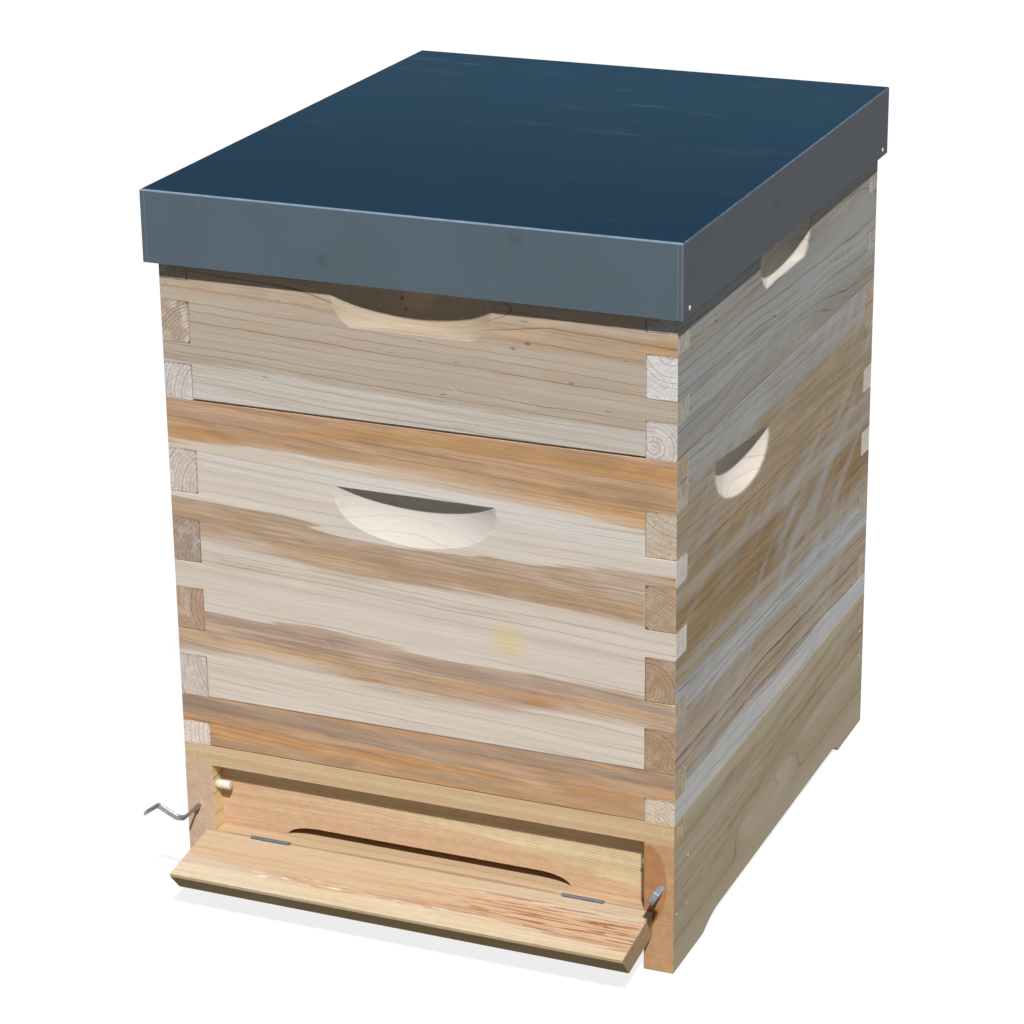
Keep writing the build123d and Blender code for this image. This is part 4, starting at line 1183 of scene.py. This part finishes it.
class HIVE_OT_effects(bpy.types.Operator):
    """Make the shared effects that the finishes use"""

    bl_idname = "hive.effects"
    bl_label = "Shared effects"

    def execute(self, context):
        make_growth_rings()
        make_wood_fibre()
        make_colour_band()
        make_pale_scuffs_and_sheen()
        make_speckle()
        return {"FINISHED"}


class HIVE_OT_brood_body(bpy.types.Operator):
    """Dress the four boards of the brood body"""

    bl_idname = "hive.brood_body"
    bl_label = "Brood body"

    def execute(self, context):
        dress_boards({
            "body_front_board": ("Body front pine", BODY_FRONT),
            "body_back_board": ("Body back pine", BODY_BACK),
            "body_right_board": ("Body right pine", BODY_RIGHT),
            "body_left_board": ("Body left pine", BODY_LEFT),
        }, context.scene.hive_wood)
        return {"FINISHED"}


class HIVE_OT_super(bpy.types.Operator):
    """Dress the four boards of the super"""

    bl_idname = "hive.super_box"
    bl_label = "Super"

    def execute(self, context):
        dress_boards({
            "super_front_board": ("Super front pine", SUPER_FRONT),
            "super_back_board": ("Super back pine", SUPER_BACK),
            "super_right_board": ("Super right pine", SUPER_RIGHT),
            "super_left_board": ("Super left pine", SUPER_LEFT),
        }, context.scene.hive_wood)
        return {"FINISHED"}


class HIVE_OT_floor(bpy.types.Operator):
    """Dress the floor's sides, rail, sill, entrance block, rear board and battens"""

    bl_idname = "hive.floor"
    bl_label = "Floor"

    def execute(self, context):
        dress_boards({
            "floor_right_side": ("Floor right pine", FLOOR_SIDE),
            "floor_left_side": ("Floor left pine", FLOOR_LEFT_SIDE),
            "floor_front_rail": ("Front rail pine", FRONT_RAIL),
            "floor_rear_board": ("Rear board pine", REAR_BOARD),
            "floor_sill": ("Sill pine", SILL),
            "entrance_block": ("Entrance block pine", ENTRANCE_BLOCK),
            "mesh_batten_left": ("Batten pine", HIDDEN_BATTEN),
            "mesh_batten_right": ("Batten pine", HIDDEN_BATTEN),
            "mesh_batten_front": ("Cross batten pine", CROSS_BATTEN),
            "mesh_batten_rear": ("Cross batten pine", CROSS_BATTEN),
            "tray_pull": ("Rear board pine", REAR_BOARD),
        }, context.scene.hive_wood)
        return {"FINISHED"}


class HIVE_OT_landing_board(bpy.types.Operator):
    """Dress the landing board"""

    bl_idname = "hive.landing_board"
    bl_label = "Landing board"

    def execute(self, context):
        dress_boards({"landing_board": ("Landing board pine", LANDING_BOARD)}, context.scene.hive_wood)
        return {"FINISHED"}


class HIVE_OT_comb_frames(bpy.types.Operator):
    """Dress the comb frames and their wax sheets"""

    bl_idname = "hive.comb_frames"
    bl_label = "Comb frames"

    def execute(self, context):
        wood = context.scene.hive_wood
        bars = board_material("Top bar softwood", TOP_BAR, wood)
        ends = board_material("End bar softwood", END_BAR, wood)
        wax = wax_material("Beeswax sheet", context.scene.hive_metal)
        for box in ("body", "super"):
            dress(f"{box}_frame_top_bars", bars)
            dress(f"{box}_frame_bottom_bars", bars)
            dress(f"{box}_frame_end_bars", ends)
            dress(f"{box}_wax_sheets", wax)
            for part in ("top_bars", "bottom_bars", "end_bars"):
                ease_edges(f"{box}_frame_{part}", wood.edge_round, segments=1)
        return {"FINISHED"}


class HIVE_OT_metalwork(bpy.types.Operator):
    """Dress the hooks, hinges, screws, runners and tray"""

    bl_idname = "hive.metalwork"
    bl_label = "Metalwork"

    def execute(self, context):
        metal = context.scene.hive_metal
        spring = metal_material("Zinc spring strip", metal.zinc, metal.dull_zinc, 0.32, 0.9, 0.5)
        dull = metal_material("Dull zinc", metal.dull_zinc, tone("5C646B"), 0.5, 0.8, 0.3)
        sheet = metal_material("Galvanised sheet", metal.zinc, metal.dull_zinc, 0.45, 0.85)
        for side in ("left", "right"):
            dress(f"hook_{side}", spring)
            dress(f"hook_screw_{side}", spring)
            dress(f"sill_hinge_leaf_{side}", dull)
            dress(f"board_hinge_leaf_{side}", dull)
            dress(f"hinge_pin_{side}", dull)
        for box in ("body", "super"):
            dress(f"{box}_front_runner", sheet)
            dress(f"{box}_back_runner", sheet)
        dress("tray", sheet)
        for node in ("hook_left", "hook_right"):
            ease_edges(node, 0.0002, segments=1, angle=40.0)
        return {"FINISHED"}


class HIVE_OT_pegs(bpy.types.Operator):
    """Dress the two entrance pegs"""

    bl_idname = "hive.pegs"
    bl_label = "Entrance pegs"

    def execute(self, context):
        finish = peg_material("White peg", context.scene.hive_metal.peg)
        for side in ("left", "right"):
            dress(f"entrance_peg_{side}", finish)
            ease_edges(f"entrance_peg_{side}", 0.0006, angle=50.0)
        return {"FINISHED"}


class HIVE_OT_mesh_floor(bpy.types.Operator):
    """Weave the wire floor in place of its plain sheet"""

    bl_idname = "hive.mesh_floor"
    bl_label = "Mesh floor"

    def execute(self, context):
        metal = context.scene.hive_metal
        low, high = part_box("mesh_floor")
        finish = metal_material("Mesh wire", metal.zinc, metal.dull_zinc, 0.4, 0.85)
        dress("mesh_floor", finish)
        values = {"Width": high.x - low.x, "Depth": high.y - low.y, "Across": metal.wires_across,
                  "Deep": metal.wires_deep, "Wire": metal.wire}
        start = bpy.data.meshes.new("mesh_start")
        piece = grow("floor_wire_mesh", woven_tree("Woven wire", finish), start, values, "floor")
        piece.data.transform(Matrix.Translation((low + high) / 2))
        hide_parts("mesh_floor")
        return {"FINISHED"}


class HIVE_OT_fasteners(bpy.types.Operator):
    """Drive the nails and staples that hold the floor"""

    bl_idname = "hive.fasteners"
    bl_label = "Nails and staples"

    def execute(self, context):
        metal = context.scene.hive_metal
        finish = metal_material("Nail brass", tone("E4D4A2"), tone("B29C66"), 0.4, 0.6)
        side_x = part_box("floor_right_side")[1].x
        front_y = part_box("floor_front_rail")[0].y
        back_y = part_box("floor_rear_board")[1].y
        along_y, along_z = (0.0, 1.0, 0.0), (0.0, 0.0, 1.0)
        # Places on a side are y and z in metres; way tells the left side from the right
        nails = []
        for way in (-1.0, 1.0):
            facing = (way, 0.0, 0.0)
            spots = [(front_y + 0.033, 0.090), (front_y + 0.030, 0.049), (front_y + 0.007, 0.050)]
            spots += [(back_y - 0.012, height) for height in (0.070, 0.095, 0.118)]
            nails += [((way * side_x, y, z), facing, along_y) for y, z in spots]
        values = {"Radius": metal.nail_radius, "Rise": 0.0003}
        start = points_mesh("nail_points", nails)
        grow("floor_nails", head_tree("Nail heads", finish), start, values, "floor")
        staples = []
        for way in (-1.0, 1.0):
            facing = (way, 0.0, 0.0)
            spots = ((front_y + 0.009, 0.121), (front_y + 0.016, 0.119))
            staples += [((way * side_x, y, z), facing, along_z) for y, z in spots]
            staples.append(((way * (side_x - 0.009), front_y, 0.121), (0.0, -1.0, 0.0), along_z))
        values = {"Length": metal.staple_length, "Wire": 0.0011, "Rise": 0.0005}
        start = points_mesh("staple_points", staples)
        grow("floor_staples", staple_tree("Staple crowns", finish), start, values, "floor")
        return {"FINISHED"}


class HIVE_OT_cover(bpy.types.Operator):
    """Dress the cover panel, its plug and the board under the roof"""

    bl_idname = "hive.cover"
    bl_label = "Cover"

    def execute(self, context):
        wood = context.scene.hive_wood
        finish = plywood_material("Cover plywood", wood)
        for node in ("cover_panel", "feeder_plug", "roof_board"):
            dress(node, finish)
            ease_edges(node, wood.edge_round)
        return {"FINISHED"}


class HIVE_OT_roof(bpy.types.Operator):
    """Paint the roof sheet and set its rivets"""

    bl_idname = "hive.roof"
    bl_label = "Roof"

    def execute(self, context):
        roof = context.scene.hive_roof
        dress("roof_sheet", roof_material("Roof paint", roof))
        rivet = metal_material("Rivet metal", tone("D5D8DA"), tone("9BA0A4"), 0.4, 0.8)
        dress("roof_rivets", rivet)
        low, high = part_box("roof_rivets")
        sheet_low, sheet_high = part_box("roof_sheet")
        middle_z = (low.z + high.z) / 2
        inset = (high.z - low.z) / 2
        sheet_and_tab = 0.0016
        places = []
        for y in (low.y + inset, high.y - inset):
            for way, face in ((-1.0, sheet_low.x), (1.0, sheet_high.x)):
                places.append(((face, y, middle_z), (way, 0.0, 0.0), (0.0, 1.0, 0.0)))
                inner_face = face - way * sheet_and_tab
                places.append(((inner_face, y, middle_z), (-way, 0.0, 0.0), (0.0, 1.0, 0.0)))
        values = {"Radius": roof.rivet_radius, "Rise": roof.rivet_rise}
        start = points_mesh("rivet_points", places)
        piece = grow("roof_rivet_heads", head_tree("Rivet heads", rivet), start, values,
                     "roof")
        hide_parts("roof_rivets")
        return {"FINISHED"}


class HIVE_OT_stage(bpy.types.Operator):
    """Set the floor, the lights and the camera"""

    bl_idname = "hive.stage"
    bl_label = "Stage"

    def execute(self, context):
        scene = context.scene
        stage = scene.hive_stage
        self.floor(scene, stage)
        self.world(scene, stage)
        self.lights(scene, stage)
        self.camera(scene, stage)
        scene.view_settings.view_transform = "Standard"
        return {"FINISHED"}

    def seen(self, g):
        """1 for rays that show the background: those of the camera, of gloss and of clear things."""
        path = g.node("ShaderNodeLightPath").outputs
        shown = g.larger(path["Is Camera Ray"], path["Is Glossy Ray"])
        return g.larger(shown, path["Is Transmission Ray"])

    def floor(self, scene, stage):
        """A wide pale floor, a hair below the feet, that keeps the hive's shadow."""
        mesh = bpy.data.meshes.new("stage_floor")
        half, drop = 9.0, -0.0003
        corners = [(-half, -half, drop), (half, -half, drop), (half, half, drop), (-half, half, drop)]
        mesh.from_pydata(corners, [], [(0, 1, 2, 3)])
        floor = bpy.data.objects.new("stage_floor", mesh)
        scene.collection.objects.link(floor)
        material, g, shader = new_material("Pale floor")
        shader.inputs["Base Color"].default_value = solid(stage.floor)
        shader.inputs["Roughness"].default_value = 1.0
        shader.inputs["Specular IOR Level"].default_value = 0.0
        shader.inputs["Emission Color"].default_value = WHITE
        g.feed(shader.inputs["Emission Strength"], g.times(self.seen(g), stage.floor_lift))
        mesh.materials.append(material)

    def world(self, scene, stage):
        """A dim sky that lights the hive from all round and looks white."""
        world = bpy.data.worlds.new("Soft surround")
        world.use_nodes = True
        scene.world = world
        g = Graph(world.node_tree)
        background = world.node_tree.nodes["Background"]
        g.feed(background.inputs["Color"], g.mix(self.seen(g), solid(stage.sky), WHITE))

    def lights(self, scene, stage):
        """A sun-like key, and a soft fill from behind that gloss doesn't show."""
        lamps = (("Key light", stage.key, stage.key_softness, (0.54, -1.0, 1.28), True),
                 ("Back fill", stage.fill, stage.fill_softness, (-0.75, 1.0, 0.2), False))
        for name, energy, angle, place, in_gloss in lamps:
            light = bpy.data.lights.new(name, "SUN")
            light.energy = energy
            light.angle = angle
            light.color = WARM_WHITE
            lamp = bpy.data.objects.new(name, light)
            lamp.rotation_euler = Vector(place).to_track_quat("Z", "Y").to_euler()
            lamp.visible_glossy = in_gloss
            scene.collection.objects.link(lamp)

    def camera(self, scene, stage):
        """The photo's viewpoint, as fitted to the corners of the boxes."""
        lens = bpy.data.cameras.new("Photo camera")
        lens.lens = stage.lens
        lens.sensor_width = 36.0
        lens.clip_end = 50.0
        camera = bpy.data.objects.new("photo_camera", lens)
        turn = Matrix(((0.92271, -0.12674, 0.36407), (0.38532, 0.33207, -0.86097),
                       (-0.01178, 0.93470, 0.35524)))
        camera.matrix_world = Matrix.Translation((0.9318, -2.2680, 1.2025)) @ turn.to_4x4()
        scene.collection.objects.link(camera)
        scene.camera = camera


class HIVE_PT_panel(bpy.types.Panel):
    """Lists the dressing steps and their settings"""

    bl_idname = "HIVE_PT_panel"
    bl_label = "Beehive"
    bl_space_type = "VIEW_3D"
    bl_region_type = "UI"
    bl_category = "Beehive"

    def draw(self, context):
        for operator in STEPS:
            self.layout.operator(operator.bl_idname)
        for label in SETTINGS:
            settings = getattr(context.scene, label)
            for name in settings.__annotations__:
                self.layout.prop(settings, name)


STEPS = (HIVE_OT_effects, HIVE_OT_brood_body, HIVE_OT_super, HIVE_OT_floor, HIVE_OT_landing_board,
         HIVE_OT_comb_frames, HIVE_OT_metalwork, HIVE_OT_pegs, HIVE_OT_mesh_floor, HIVE_OT_fasteners,
         HIVE_OT_cover, HIVE_OT_roof, HIVE_OT_stage)
SETTINGS = {"hive_wood": HiveWood, "hive_roof": HiveRoof, "hive_metal": HiveMetal, "hive_stage": HiveStage}


def register():
    for kind in (*SETTINGS.values(), *STEPS, HIVE_PT_panel):
        bpy.utils.register_class(kind)
    for label, kind in SETTINGS.items():
        setattr(bpy.types.Scene, label, PointerProperty(type=kind))


def unregister():
    for label in SETTINGS:
        delattr(bpy.types.Scene, label)
    for kind in (HIVE_PT_panel, *reversed(STEPS), *SETTINGS.values()):
        bpy.utils.unregister_class(kind)


def main():
    register()
    bpy.ops.hive.effects()
    bpy.ops.hive.brood_body()
    bpy.ops.hive.super_box()
    bpy.ops.hive.floor()
    bpy.ops.hive.landing_board()
    bpy.ops.hive.comb_frames()
    bpy.ops.hive.metalwork()
    bpy.ops.hive.pegs()
    bpy.ops.hive.mesh_floor()
    bpy.ops.hive.fasteners()
    bpy.ops.hive.cover()
    bpy.ops.hive.roof()
    bpy.ops.hive.stage()


if __name__ == "__main__":
    main()
